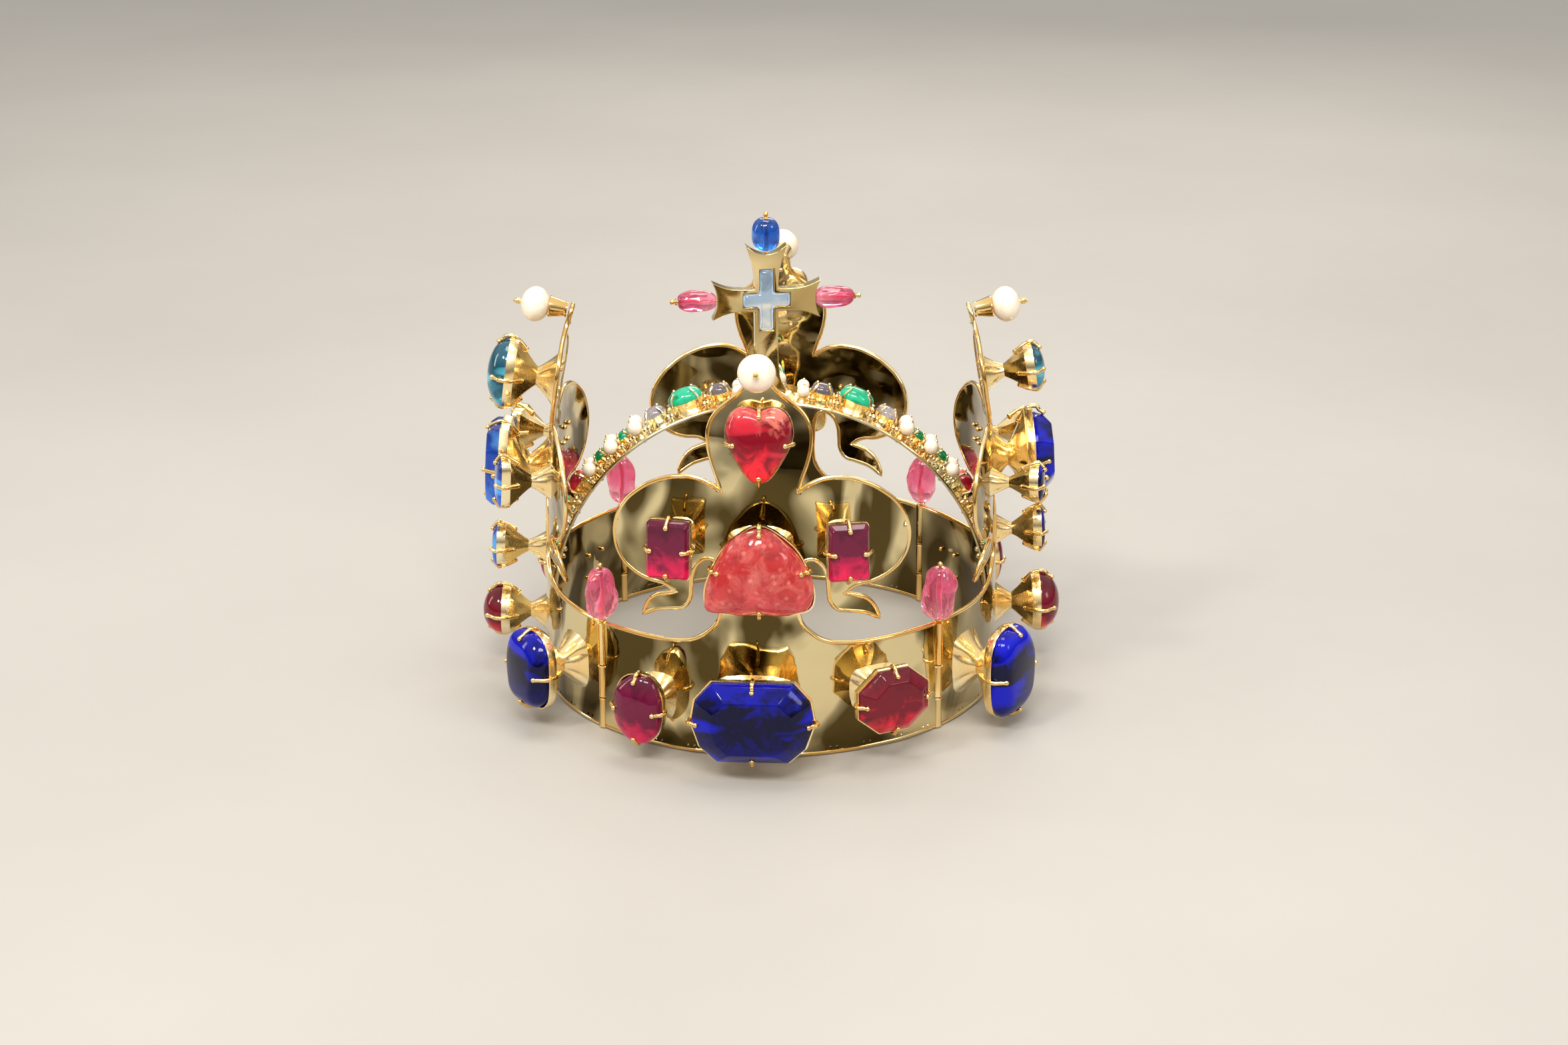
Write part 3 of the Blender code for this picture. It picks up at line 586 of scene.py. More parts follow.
def knuckle(bm, place, low, high):
    """A rolled hinge knuckle, open through its middle, with a slight lip at each end."""
    wall, lip = KNUCKLE_RADIUS - 0.15, KNUCKLE_RADIUS
    profile = [(PIN_BORE, low), (lip - 0.3, low), (lip, low + 0.3), (lip, low + 0.7), (wall, low + 1.1)]
    profile += [(wall, high - 1.1), (lip, high - 0.7), (lip, high - 0.3), (lip - 0.3, high), (PIN_BORE, high)]
    rings = []
    for radius, height in profile:
        rings.append([place + Vector((radius * way.x, radius * way.y, height)) for way in circle(20)])
    loft(bm, rings + [rings[0]], False)
    bmesh.ops.remove_doubles(bm, verts=bm.verts, dist=MERGE)


def make_hinges():
    low, high = KNUCKLE_SPLITS
    spans = [(0.0, low - GAP / 2), (low + GAP / 2, high - GAP / 2), (high + GAP / 2, BAND_HEIGHT)]
    for corner, angle in (("front_left", -45), ("front_right", 45), ("back_right", 135), ("back_left", 225)):
        turn = radians(angle)
        place = Vector((HINGE_RADIUS * sin(turn), -HINGE_RADIUS * cos(turn), 0))
        bm = bmesh.new()
        for start, stop in spans:
            knuckle(bm, place, start, stop)
        add_bmesh(f"{corner}_knuckles", bm, BRIGHT_GOLD, sharp=35)


# Stones and their settings

# Closed outlines with a half width and half height of 1. A tuple of points is a cut polygon, and a list of
# points is drawn through smoothly. A whole number is a regular polygon, and any other a superellipse's power.
CUSHION_CUT = (
    (0.66, 1.0), (0.0, 1.0), (-0.66, 1.0), (-0.93, 0.55), (-1.0, 0.0), (-0.86, -0.62), (-0.58, -1.0),
    (0.0, -1.0), (0.58, -1.0), (0.86, -0.62), (1.0, 0.0), (0.93, 0.55),
)
HEART = [(0.0, 0.93), (-0.38, 1.0), (-0.80, 0.86), (-1.0, 0.42), (-0.93, 0.0), (-0.64, -0.50), (-0.32, -0.90)]
HEART += [(0.0, -1.0), (0.32, -0.90), (0.64, -0.50), (0.93, 0.0), (1.0, 0.42), (0.80, 0.86), (0.38, 1.0)]
ROSE = [(0.0, 1.0), (-0.36, 0.80), (-0.70, 0.42), (-0.90, -0.08), (-1.0, -0.52), (-0.90, -0.88)]
ROSE += [(-0.45, -1.0), (0.0, -0.98)] + [(-x, y) for x, y in reversed(ROSE[1:] + [(-0.45, -1.0)])]

# Crown profiles: (share of the crown's height, share of the outline)
DOME = [(0.0, 0.95), (0.12, 1.0), (0.3, 0.985), (0.5, 0.92), (0.68, 0.80), (0.82, 0.64), (0.93, 0.44)]
DOME += [(0.99, 0.22)]
TABLE = [(0.0, 0.95), (0.10, 1.0), (0.55, 1.0), (0.92, 0.90), (1.0, 0.87)]
CUSHION = [(0.0, 0.93), (0.14, 1.0), (0.36, 1.0), (0.68, 0.92), (0.90, 0.79), (1.0, 0.64)]
STEP = [(0.0, 0.93), (0.12, 1.0), (0.30, 1.0), (0.62, 0.88), (0.90, 0.72), (1.0, 0.66)]
LOW_DOME = [(0.0, 0.96), (0.12, 1.0), (0.45, 0.97), (0.72, 0.86), (0.90, 0.66), (0.98, 0.38)]

# How each stone is cut: outline, profile, crispness of its edges, lumps, material
PETAL_GARNET = (14.0, TABLE, 25, 0.0, "garnet")
PETAL_LIGHT = (5.0, LOW_DOME, 40, 0.01, "light_blue")
PETAL_DARK = (2.4, LOW_DOME, 45, 0.02, "sapphire_blue")
OVAL_RUBY = (2.0, DOME, 60, 0.01, "ruby_red")
OVAL_GARNET = (2.3, DOME, 60, 0.04, "garnet")
BLOCK_BLUE = (3.0, CUSHION, 50, 0.03, "sapphire_blue")
CUTS = {
    "front_top_stone": (HEART, CUSHION, 60, 0.03, "heart_red"),
    "front_left_petal_stone": PETAL_GARNET,
    "front_right_petal_stone": PETAL_GARNET,
    "front_centre_stone": (ROSE, DOME, 60, 0.045, "rose_quartz"),
    "front_band_left_stone": (2.3, DOME, 60, 0.05, "garnet"),
    "front_band_centre_stone": (CUSHION_CUT, STEP, 28, 0.0, "sapphire_blue"),
    "front_band_right_stone": (8, STEP, 22, 0.0, "ruby_red"),
    "left_top_stone": (2.2, DOME, 60, 0.03, "aquamarine"),
    "left_left_petal_stone": PETAL_LIGHT,
    "left_right_petal_stone": PETAL_LIGHT,
    "left_centre_stone": (CUSHION_CUT, TABLE, 25, 0.0, "light_blue"),
    "left_stem_stone": (2.6, LOW_DOME, 40, 0.02, "light_blue"),
    "left_band_left_stone": OVAL_GARNET,
    "left_band_centre_stone": OVAL_RUBY,
    "left_band_right_stone": BLOCK_BLUE,
    "right_top_stone": (2.2, DOME, 60, 0.02, "aquamarine"),
    "right_left_petal_stone": PETAL_DARK,
    "right_right_petal_stone": PETAL_DARK,
    "right_centre_stone": (6, STEP, 22, 0.0, "sapphire_blue"),
    "right_stem_stone": PETAL_DARK,
    "right_band_left_stone": BLOCK_BLUE,
    "right_band_centre_stone": OVAL_RUBY,
    "right_band_right_stone": OVAL_GARNET,
}
for name in [name for name in CUTS if name.startswith("front")]:
    CUTS[name.replace("front", "back")] = CUTS[name]


def outline_points(kind, count):
    """Points round a closed outline, from the way it is written above."""
    if isinstance(kind, float):
        points = []
        for way in circle(count):
            x = copysign(abs(way.x) ** (2 / kind), way.x)
            y = copysign(abs(way.y) ** (2 / kind), way.y)
            points.append(Vector((x, y)))
        return points
    if isinstance(kind, int):
        size, half = kind, pi / kind
        turns = [(2 * i - 1) * half for i in range(kind)]
        corners = [Vector((cos(turn), sin(turn))) / cos(half) for turn in turns]
    else:
        size, corners = len(kind), [Vector(point) for point in kind]
    points = []
    for i in range(count):
        share = i * size / count
        k, t = int(share), share - int(share)
        a, b, c, d = (corners[(k + j) % size] for j in (-1, 0, 1, 2))
        points.append(spline_point(a, b, c, d, t) if isinstance(kind, list) else b.lerp(c, t))
    return points


def stone_seat(node):
    """Where a CAD stone sits: its frame on the panel, width, height, and base and top over the sheet."""
    side = node.split("_")[0]
    verts = [vertex.co / MM for vertex in frame["nodes"][node].data.vertices]
    middle = sum(verts, Vector()) / len(verts)
    across, height = 0.0, middle.z
    for _ in range(40):
        place = panel_frame(side, across, height)
        offset = place.inverted() @ middle
        across += 0.7 * offset.x
        height += 0.7 * offset.y
    local = [place.inverted() @ vertex for vertex in verts]
    lows = [min(point[i] for point in local) for i in range(3)]
    highs = [max(point[i] for point in local) for i in range(3)]
    place = place @ Matrix.Translation(((lows[0] + highs[0]) / 2, (lows[1] + highs[1]) / 2, 0))
    return place, highs[0] - lows[0], highs[1] - lows[1], lows[2], highs[2]


def refine_profile(profile, steps):
    """More rings along a profile, on a smooth path through it."""
    path = smooth_path([(share, scale, 0) for share, scale in profile], steps)
    return [(point.x, point.y) for point in path]


def make_stone(node, width, tall, base, top, place, cut):
    kind, profile, crisp, lumps, colour = cut
    crown = top - base - 0.15
    smooth = profile in (DOME, LOW_DOME) or lumps > 0
    count = 32 if isinstance(kind, int) else OUTLINE
    outline = outline_points(kind, count)
    levels = refine_profile(profile, 3) if smooth else profile
    levels = [(-0.35, 0.55), (-0.12, 0.86), *levels]
    rings = []
    for share, scale in levels:
        ring = []
        for point in outline:
            x, y, z = point.x * scale * width / 2, point.y * scale * tall / 2, base + share * crown
            seed = Vector((x / 9.0, y / 9.0, z / 9.0 + len(node)))
            swell = 1 + lumps * 2 * noise.noise(seed)
            x = min(max(x * swell, -width / 2), width / 2)
            y = min(max(y * swell, -tall / 2), tall / 2)
            if share > 0.2:
                z = base + share * crown * (1 - abs(lumps * noise.noise(seed * 1.7)))
            ring.append(Vector((x, y, z)))
        rings.append(ring)
    bm = bmesh.new()
    loft(bm, rings)
    bm.transform(place)
    stone = add_bmesh(f"{node}_cut", bm, GEMS[colour], sharp=crisp)
    if not smooth or profile is CUSHION:
        bevel = stone.modifiers.new("Polish", "BEVEL")
        bevel.width = 0.35 * MM if not smooth else 0.8 * MM
        bevel.segments = 2
        bevel.limit_method = "ANGLE"
        bevel.angle_limit = radians(22)
    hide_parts(node)
    return stone


def facet(turn, sides):
    """Distance to the edge of a regular polygon in a direction, where a corner is at 1."""
    sector = 2 * pi / sides
    return cos(sector / 2) / cos(turn % sector - sector / 2)


# A setting, from its foot to its lip: the foot's share of the stone's width, the waist's of the height, the
# foot's rings (share of the height, flare), the cup's rings, and the lip's (scale, height over the girdle)
FOOT_SHARE = 0.70
COLLET_WAIST = 0.48
COLLET_FOOT = [(0.0, 1.0), (0.03, 1.0), (0.12, 0.78), (0.22, 0.54), (0.32, 0.31), (0.41, 0.12)]
COLLET_FOOT += [(COLLET_WAIST, 0.0)]
COLLET_CUP = [0.0, 0.12, 0.26, 0.42, 0.58, 0.74, 0.88, 1.0]
COLLET_LIP = [(1.02, -1.6), (1.035, 0.7), (1.03, 1.2), (1.005, 1.2), (0.985, 0.3), (0.8, -1.6)]
COLLET_THIN = 0.075
OUTLINE = 48


def collet_rings(kind, width, tall, base):
    """Rings of the setting: a folded foot, a thin waist and a folded cup that takes the stone's outline."""
    turns = turns_of(OUTLINE)
    stone = Vector((width / 2, tall / 2))
    foot = stone * FOOT_SHARE + Vector((0.6, 0.6))
    waist = [COLLET_THIN * (width + tall) * point for point in outline_points(2.0, OUTLINE)]
    square = [point * foot for point in outline_points(3.4, OUTLINE)]
    cup = [point * stone for point in outline_points(kind, OUTLINE)]
    bottom, wall = -0.9, base - 2.4
    rings = []
    for share, flare in COLLET_FOOT:
        ring = []
        for turn, thin, wide in zip(turns, waist, square):
            folded = 1 - 0.16 * sin(pi * flare) * (1 - abs(cos(4 * turn)))
            point = thin.lerp(wide, flare) * folded
            bend = flare * point.x**2 / (2 * BAND_RADIUS)
            ring.append(point.to_3d() + rise(bottom + (wall - bottom) * share - bend))
        rings.append(ring)
    for u in COLLET_CUP:
        fold = sin(pi * min(max(u, 0.04), 1.0)) ** 0.6
        height = rise(bottom + (wall - bottom) * (COLLET_WAIST + (1 - COLLET_WAIST) * u))
        ring = []
        for turn, thin, wide in zip(turns, waist, cup):
            creased = 1 - fold * (0.9 * (1 - facet(turn, 8)) + 0.03 * abs(sin(4 * turn)))
            ring.append((thin.lerp(wide, u**1.1) * creased).to_3d() + height)
        rings.append(ring)
    for scale, out in COLLET_LIP:
        rings.append([(point * scale).to_3d() + rise(base + out) for point in cup])
    return rings


def crown_share(profile, scale):
    """The share of the crown's height at which its outline has shrunk to a scale."""
    for (low, wide), (high, narrow) in reversed(list(zip(profile, profile[1:]))):
        if narrow <= scale <= wide and wide > narrow:
            return high + (low - high) * (scale - narrow) / (wide - narrow)
    return profile[-1][0]


def claw_points(kind, profile, width, tall, base, crown, angle):
    """A claw from the cup's side over the stone's edge, ending a short way onto its crown."""
    outline = outline_points(kind, 96)
    point = max(outline, key=lambda p: cos(atan2(p.y * tall, p.x * width) - angle))
    edge = Vector((point.x * width / 2, point.y * tall / 2))
    away = edge.normalized()
    path = []
    for scale, extra, out in ((0.72, 0.5, base * 0.70), (0.92, 0.6, base * 0.88), (1.0, 0.9, base + 0.5)):
        path.append((edge * scale + away * extra, out))
    path.append((edge + away * 0.75, base + 0.35 * crown))
    for reach in (0.7, 1.4, 2.0):
        scale = 1 - reach / edge.length
        path.append((edge * scale, base + crown_share(profile, scale) * crown + 0.45))
    return [Vector((flat.x, flat.y, out)) for flat, out in path]


def make_setting(node, width, tall, base, top, place, cut):
    kind, profile, *_ = cut
    bm = bmesh.new()
    loft(bm, collet_rings(kind, width, tall, base))
    collet = add_bmesh(f"{node}_collet", bm, COLLET_GOLD, ROOT, place, 20)
    bm = bmesh.new()
    for quarter in range(4):
        knots = claw_points(kind, profile, width, tall, base, top - base, quarter * pi / 2)
        path = smooth_path(knots, 4)
        radii = [1.0 - 0.25 * i / len(path) for i in range(len(path))]
        tube(bm, path, radii, 8)
        ball(bm, path[-1], 1.05, 12)
        ball(bm, path[0], 1.1, 8)
    for x, y in ((1, 1), (-1, 1), (1, -1), (-1, -1)):
        ball(bm, Vector((0.2 * x * width, 0.2 * y * tall, -SHEET - 0.8)), 1.1, 8)
    claws = add_bmesh(f"{node}_claws", bm, BRIGHT_GOLD, ROOT, place, 70)


def make_stones():
    for node, cut in CUTS.items():
        place, width, tall, base, top = stone_seat(node)
        stone = make_stone(node, width, tall, base, top, place, cut)
        make_setting(node, width, tall, base, top, place, cut)


# Pins, beads and pearls


def node_axis(node):
    """The middle and half size of a CAD node, in millimetres."""
    low, high = (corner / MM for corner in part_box(node))
    return (low + high) / 2, (high - low) / 2


DRILLED = 0.85


def tumbled_bead(name, node, start, direction, length, width, squash, lumps, seed, colour, body):
    """A drilled, water-worn bead: full in the middle, unevenly lumpy, with its drill hole open."""
    place = frame_along(start, direction)
    sides = 40
    rings = []
    profile = [(0.0, 0.18), (0.0, 0.40), (0.03, 0.58), (0.12, 0.80), (0.26, 0.95), (0.42, 1.0), (0.58, 0.99)]
    profile += [(0.74, 0.92), (0.88, 0.76), (0.97, 0.54), (1.0, 0.36), (1.0, 0.18)]
    fine = refine_profile(profile, 3)
    for share, fat in fine:
        ring = []
        for way in circle(sides):
            worn = 1 + lumps * noise.noise(Vector((way.x * 1.3, way.y * 1.3, share * 2.2 + seed)))
            worn += 0.35 * lumps * noise.noise(Vector((way.x * 3.1, way.y * 3.1, share * 5.0 + seed)))
            radius = max(width / 2 * fat * worn, DRILLED + 0.05) if fat > 0.2 else DRILLED
            ring.append(Vector((radius * way.x, radius * squash * way.y, share * length)))
        rings.append(ring)
    core = []
    for share in (0.66, 0.33, 0.0):
        core.append([DRILLED * way + rise(share * length) for way in circle(sides)])
    bm = bmesh.new()
    loft(bm, rings + core + [rings[0]], False)
    bmesh.ops.remove_doubles(bm, verts=bm.verts, dist=10 * MERGE)
    bead = add_bmesh(name, bm, GEMS[colour], body, place, 70)
    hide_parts(node)
    return bead


PIN_BEADS = {
    "front_left": (-45, 12.2, 0.9, 0.22, 1.7),
    "front_right": (45, 14.0, 0.85, 0.26, 4.1),
    "back_right": (135, 12.4, 0.9, 0.2, 7.7),
    "back_left": (225, 12.6, 0.9, 0.2, 9.3),
}


def make_pins():
    for corner, (angle, width, squash, lumps, seed) in PIN_BEADS.items():
        pin, bead = f"{corner}_hinge_pin", f"{corner}_pin_bead"
        middle, half = node_axis(bead)
        turn = radians(angle)
        start = Vector((HINGE_RADIUS * sin(turn), -HINGE_RADIUS * cos(turn), middle.z - half.z))
        up = rise(1)
        shape = (2 * half.z, width, squash, lumps, seed)
        made = tumbled_bead(f"{bead}_worn", bead, start, up, *shape, "spinel_pink", bead)
        pin_middle, pin_half = node_axis(pin)
        place = Matrix.Translation((start.x, start.y, 0))
        foot, head = pin_middle.z - pin_half.z, pin_middle.z + pin_half.z
        bm = bmesh.new()
        seat, ball_radius = BAND_HEIGHT + GAP, 1.1
        profile = [(0.0, foot), (0.5, foot), (0.75, foot + 0.5), (0.75, seat), (1.5, seat)]
        profile += [(1.75, seat + 0.4), (1.7, start.z - 0.9), (1.2, start.z - GAP), (0.5, start.z - GAP)]
        profile.append((0.5, head - 2 * ball_radius + 0.1))
        for i in range(1, 8):
            t = pi * i / 8
            profile.append((ball_radius * sin(t), head - ball_radius - ball_radius * cos(t)))
        profile.append((0.0, head))
        turned(bm, place, profile, 20)
        bmesh.ops.remove_doubles(bm, verts=bm.verts, dist=MERGE)
        wire = add_bmesh(f"{pin}_wire", bm, BRIGHT_GOLD, pin, None, 40)
        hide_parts(pin)


def make_pearls():
    for side in PANELS:
        node = f"{side}_pearl"
        joint = next(j for j in frame["joints"] if j["child"] == node)
        centre, aim = Vector(joint["pos_m"]) / MM, Vector(joint["axis"]).normalized()
        place = frame_along(centre, aim)
        bm = bmesh.new()
        bmesh.ops.create_uvsphere(bm, u_segments=40, v_segments=28, radius=7.0)
        for vert in bm.verts:
            worn = 1 + 0.018 * noise.noise(vert.co * 0.16 + Vector((PANELS[side], 0, 0)))
            near = 1 - 0.05 * max(0.0, 1 - (Vector((vert.co.x, vert.co.y)).length / 1.6)) ** 2
            vert.co *= Vector((1.03, 1.03, 0.85 * near)) * worn
        pearl = add_bmesh(f"{node}_drilled", bm, PEARL, node, place)
        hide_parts(node)
        bm = bmesh.new()
        cup = [(0.0, -12.9), (3.1, -12.9), (3.3, -12.4), (3.0, -11.9), (4.3, -6.3), (4.5, -5.9), (4.3, -5.5)]
        cup += [(3.7, -5.6), (0.5, -5.9), (0.5, 6.0), (0.9, 6.1), (1.25, 6.8), (1.1, 7.8), (0.6, 8.9)]
        cup.append((0.0, 9.1))
        turned(bm, place, cup, 24)
        bmesh.ops.remove_doubles(bm, verts=bm.verts, dist=MERGE)
        ball(bm, place @ Vector((0, -5.2, -14.3)), 1.1, 10)
        post = add_bmesh(f"{side}_pearl_cup", bm, BRIGHT_GOLD, sharp=35)
        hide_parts(f"{side}_pearl_post")


# Arches

# From an arch's foot up to the crossing: degrees of turn, place across (both sides alike), kind, long, wide
ARCH_ROW = [
    (15.0, 0.0, "emerald", 6.0, 5.0),
    (26.5, 0.0, "emerald", 9.0, 8.0),
    (34.0, 0.0, "heart_red", 10.5, 9.5),
    (38.8, 3.5, "pearl", 5.8, 5.8),
    (42.8, 0.0, "emerald", 7.0, 6.5),
    (46.8, 3.5, "pearl", 6.2, 6.2),
    (50.6, 0.0, "emerald", 6.5, 6.0),
    (54.6, 3.4, "pearl", 6.4, 6.4),
    (60.2, 0.0, "clear", 9.5, 8.5),
    (68.8, 0.0, "emerald", 15.0, 11.5),
    (77.3, 0.0, "clear", 9.5, 8.5),
    (82.0, 3.8, "pearl", 5.2, 5.2),
]
# Gold flowers that fill the strip between them: degrees of turn
ARCH_FLOWERS = [21.5, 30.2, 36.9, 41.0, 44.8, 48.9, 52.6, 57.2, 63.9, 73.6, 80.0]
ARCH_FOOT = 6.0
PEARL_SEAT = [(0.0, -0.2), (1.9, -0.2), (1.2, 0.8), (1.9, 2.0), (1.0, 2.1), (0.0, 2.0)]
# Below this turn the sheet is too close for a raised setting
LOWEST_RAISED = 20.0


def arch_frame(degrees, across):
    """A frame on the arch's outer face: X along it, Y across it, Z outwards."""
    here, out = arch_point(radians(degrees), ARCH_THICKNESS, across)
    along = Vector((0, 1, 0)).cross(out)
    made = Matrix((along, Vector((0, 1, 0)), out)).transposed().to_4x4()
    made.translation = here
    return made


def corners_of_square():
    return [Vector((cos(turn), sin(turn), 0)) for turn in (pi / 4 + k * pi / 2 for k in range(4))]


def small_dome(bm, place, long, wide, base, high):
    rings = []
    for share, scale in [(-0.3, 0.6), *refine_profile(DOME, 1)]:
        size, z = scale * Vector((long / 2, wide / 2, 0)), rise(base + share * high)
        rings.append([place @ (way * size + z) for way in circle(20)])
    loft(bm, rings)


def small_cup(bm, place, long, wide, base, high):
    """A fluted cup with claws for a small stone."""
    rings = []
    levels = [(-0.3, 0.86), (0.25 * base, 0.72), (0.6 * base, 0.84), (base, 1.02), (base + 0.5, 1.08)]
    levels += [(base + 0.5, 0.98), (base - 0.4, 0.8)]
    size = Vector((long / 2, wide / 2, 0))
    for out, scale in levels:
        ring = []
        for turn, way in zip(turns_of(24), circle(24)):
            flute = 1 + 0.05 * cos(8 * turn)
            ring.append(place @ (scale * flute * way * size + rise(out)))
        rings.append(ring)
    loft(bm, rings)
    bends = [(0.95, 0.5 * base), (1.1, base + 0.2), (0.98, base + 0.55 * high)]
    bends.append((0.72, base + 0.86 * high + 0.1))
    for way in corners_of_square():
        path = smooth_path([scale * way * size + rise(out) for scale, out in bends], 3)
        path = [place @ point for point in path]
        tube(bm, path, [0.5] * len(path), 6)
        ball(bm, path[-1], 0.62, 8)


def gold_flower(bm, place):
    """Four small gold grains on a stalk."""
    turned(bm, place, [(0.0, -0.1), (0.9, -0.1), (0.6, 1.4), (1.1, 2.4), (0.0, 2.7)], 8)
    for way in corners_of_square():
        ball(bm, place @ (1.15 * way + rise(2.3)), 1.0, 6)


def arch_strip(bm, first, last, steps):
    """The strip with a rounded wire along each edge."""
    half = ARCH_WIDTH / 2
    rings = []
    section = [(-half + 0.6, 0.2), (half - 0.6, 0.2), (half - 0.6, 1.4), (-half + 0.6, 1.4)]
    edges = ([], [])
    for i in range(steps + 1):
        turn = first + (last - first) * i / steps
        rings.append([arch_point(turn, out, across)[0] for across, out in section])
        for path, across in zip(edges, (-half + 0.75, half - 0.75)):
            path.append(arch_point(turn, 0.8, across)[0])
    loft(bm, rings)
    for path in edges:
        tube(bm, path, [0.8] * len(path), 8)


def make_arch(node, first, last, steps, angle, rows):
    turn_about = Matrix.Rotation(radians(angle), 4, "Z")
    made = {"strip": bmesh.new(), "cups": bmesh.new(), "pearls": bmesh.new()}
    arch_strip(made["strip"], first, last, steps)
    for flip in rows:
        for degrees in ARCH_FLOWERS:
            for across in (-4.4, 4.4):
                gold_flower(made["cups"], arch_frame(180 - degrees if flip else degrees, across))
        for degrees, across, kind, long, wide in ARCH_ROW:
            for side in (1, -1) if across else (1,):
                place = arch_frame(180 - degrees if flip else degrees, side * across)
                if kind == "pearl":
                    high = 1.9 + long / 2
                    ball(made["pearls"], place @ rise(high), long / 2, 18)
                    turned(made["cups"], place, PEARL_SEAT, 12)
                    ball(made["cups"], place @ rise(high + long / 2), 0.6, 8)
                else:
                    low = degrees < LOWEST_RAISED
                    base, high = (0.6, 1.6) if low else (2.8 + 0.13 * long, 0.44 * wide)
                    small_cup(made["cups"], place, long, wide, base, high)
                    made.setdefault(kind, bmesh.new())
                    small_dome(made[kind], place, long * 0.98, wide * 0.98, base + 0.2, high)
                ball(made["cups"], place @ rise(-ARCH_THICKNESS - 0.3), 0.75, 8)
    materials = {"strip": ARCH_GOLD, "cups": ARCH_GOLD, "pearls": PEARL}
    for word, bm in made.items():
        bmesh.ops.transform(bm, matrix=turn_about, verts=bm.verts)
        piece = add_bmesh(f"{node}_{word}", bm, materials.get(word) or GEMS[word], sharp=45)
        if word == "strip":
            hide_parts(node)


def make_arches():
    foot = radians(ARCH_FOOT)
    make_arch("side_to_side_arch", foot, pi - foot, 96, 0, (False, True))
    meet = acos((ARCH_WIDTH / 2 + GAP) / ARCH_SPAN)
    make_arch("front_half_arch", foot, meet, 48, -90, (False,))
    make_arch("back_half_arch", foot, meet, 48, 90, (False,))
    feet = bmesh.new()
    for angle in (0, 90, 180, 270):
        for across in (-4.0, 4.0):
            for degrees in (9.0, 14.0):
                here, out = arch_point(radians(degrees), -0.5, across)
                here = Matrix.Rotation(radians(angle), 4, "Z") @ here
                ball(feet, here, 1.1, 8)
    add_bmesh("arch_foot_rivets", feet, BRIGHT_GOLD)


def make_boss():
    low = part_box("arch_boss")[0].z / MM
    middle, half = node_axis("arch_boss")
    bm = bmesh.new()
    rings = []
    profile = [(0.55, 0.0), (0.97, 0.0), (1.0, 0.4), (0.93, 1.0), (0.86, 1.5), (0.84, 1.9), (0.8, 2.0)]
    profile.append((0.5, 2.0))
    for scale, out in profile:
        ring = []
        for turn, way in zip(turns_of(64), circle(64)):
            petal = 1 - 0.045 * (1 - abs(cos(4 * turn)))
            ring.append(Vector((middle.x, middle.y, low + out)) + half.x * scale * petal * way)
        rings.append(ring)
    loft(bm, rings)
    boss = add_bmesh("arch_boss_rosette", bm, ARCH_GOLD, sharp=40)
    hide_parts("arch_boss")


# Cross

CROSS_MIDDLE = 158.5
CROSS_DEPTH = 5.0
CROSS_REACH = 20.0
CROSS_TOP = 177.4
# Depth of the window's floor behind the middle, and reach of the wires that carry the beads
WINDOW_FLOOR = 0.9
CROSS_WIRE = 38.0
CROSS_WIRE_UP = 15.8
CROSS_PLACE = Matrix.Translation((-1.9, 0, 0)) @ Matrix.Rotation(radians(8.0), 4, "Z")


def cross_edge():
    """The cross's outline with flared arms: across, height, and whether it is a corner."""
    foot, tip = ARCH_TOP + 2 * GAP + 2.0 - CROSS_MIDDLE, CROSS_TOP - CROSS_MIDDLE
    right = [
        (8.2, foot, True), (6.0, foot + 4.5, False), (5.1, foot + 10.0, False), (4.7, -14.0, False),
        (4.8, -4.8, True), (9.0, -4.6, False), (15.5, -5.2, False), (22.0, -7.8, True), (20.5, -4.2, False),
        (CROSS_REACH, 0.0, False), (20.5, 4.2, False), (22.0, 7.8, True), (15.5, 5.2, False),
        (9.0, 4.6, False), (4.8, 4.6, True), (5.0, 9.5, False), (6.2, 16.0, False), (8.3, tip + 3.8, True),
        (4.4, tip + 1.1, False),
    ]
    edge = right + [(0.0, tip, False)] + [(-x, z, corner) for x, z, corner in reversed(right)]
    return [(x, CROSS_MIDDLE + z, corner) for x, z, corner in edge]


def slab(bm, points, front, back):
    loft(bm, [[Vector((p[0], depth, p[1])) for p in points] for depth in (front, back)])


def inset_edge(grow):
    """The crystal's outline: an upright cross with slightly waisted arms."""
    wide, tall, bar = 9.4 + grow, 12.5 + grow, 2.75 + grow
    right = [(bar, -tall), (bar * 0.92, -tall / 2), (bar, -bar), (wide / 1.6, -bar * 0.92), (wide, -bar)]
    right += [(wide, bar), (wide / 1.6, bar * 0.92), (bar, bar), (bar * 0.92, tall / 2), (bar, tall)]
    edge = right + [(-x, z) for x, z in reversed(right)]
    return [(x, CROSS_MIDDLE + z) for x, z in edge]


def add_bevel(obj, width, segments, angle=35):
    bevel = obj.modifiers.new("Edges", "BEVEL")
    bevel.width = width * MM
    bevel.segments = segments
    bevel.limit_method = "ANGLE"
    bevel.angle_limit = radians(angle)


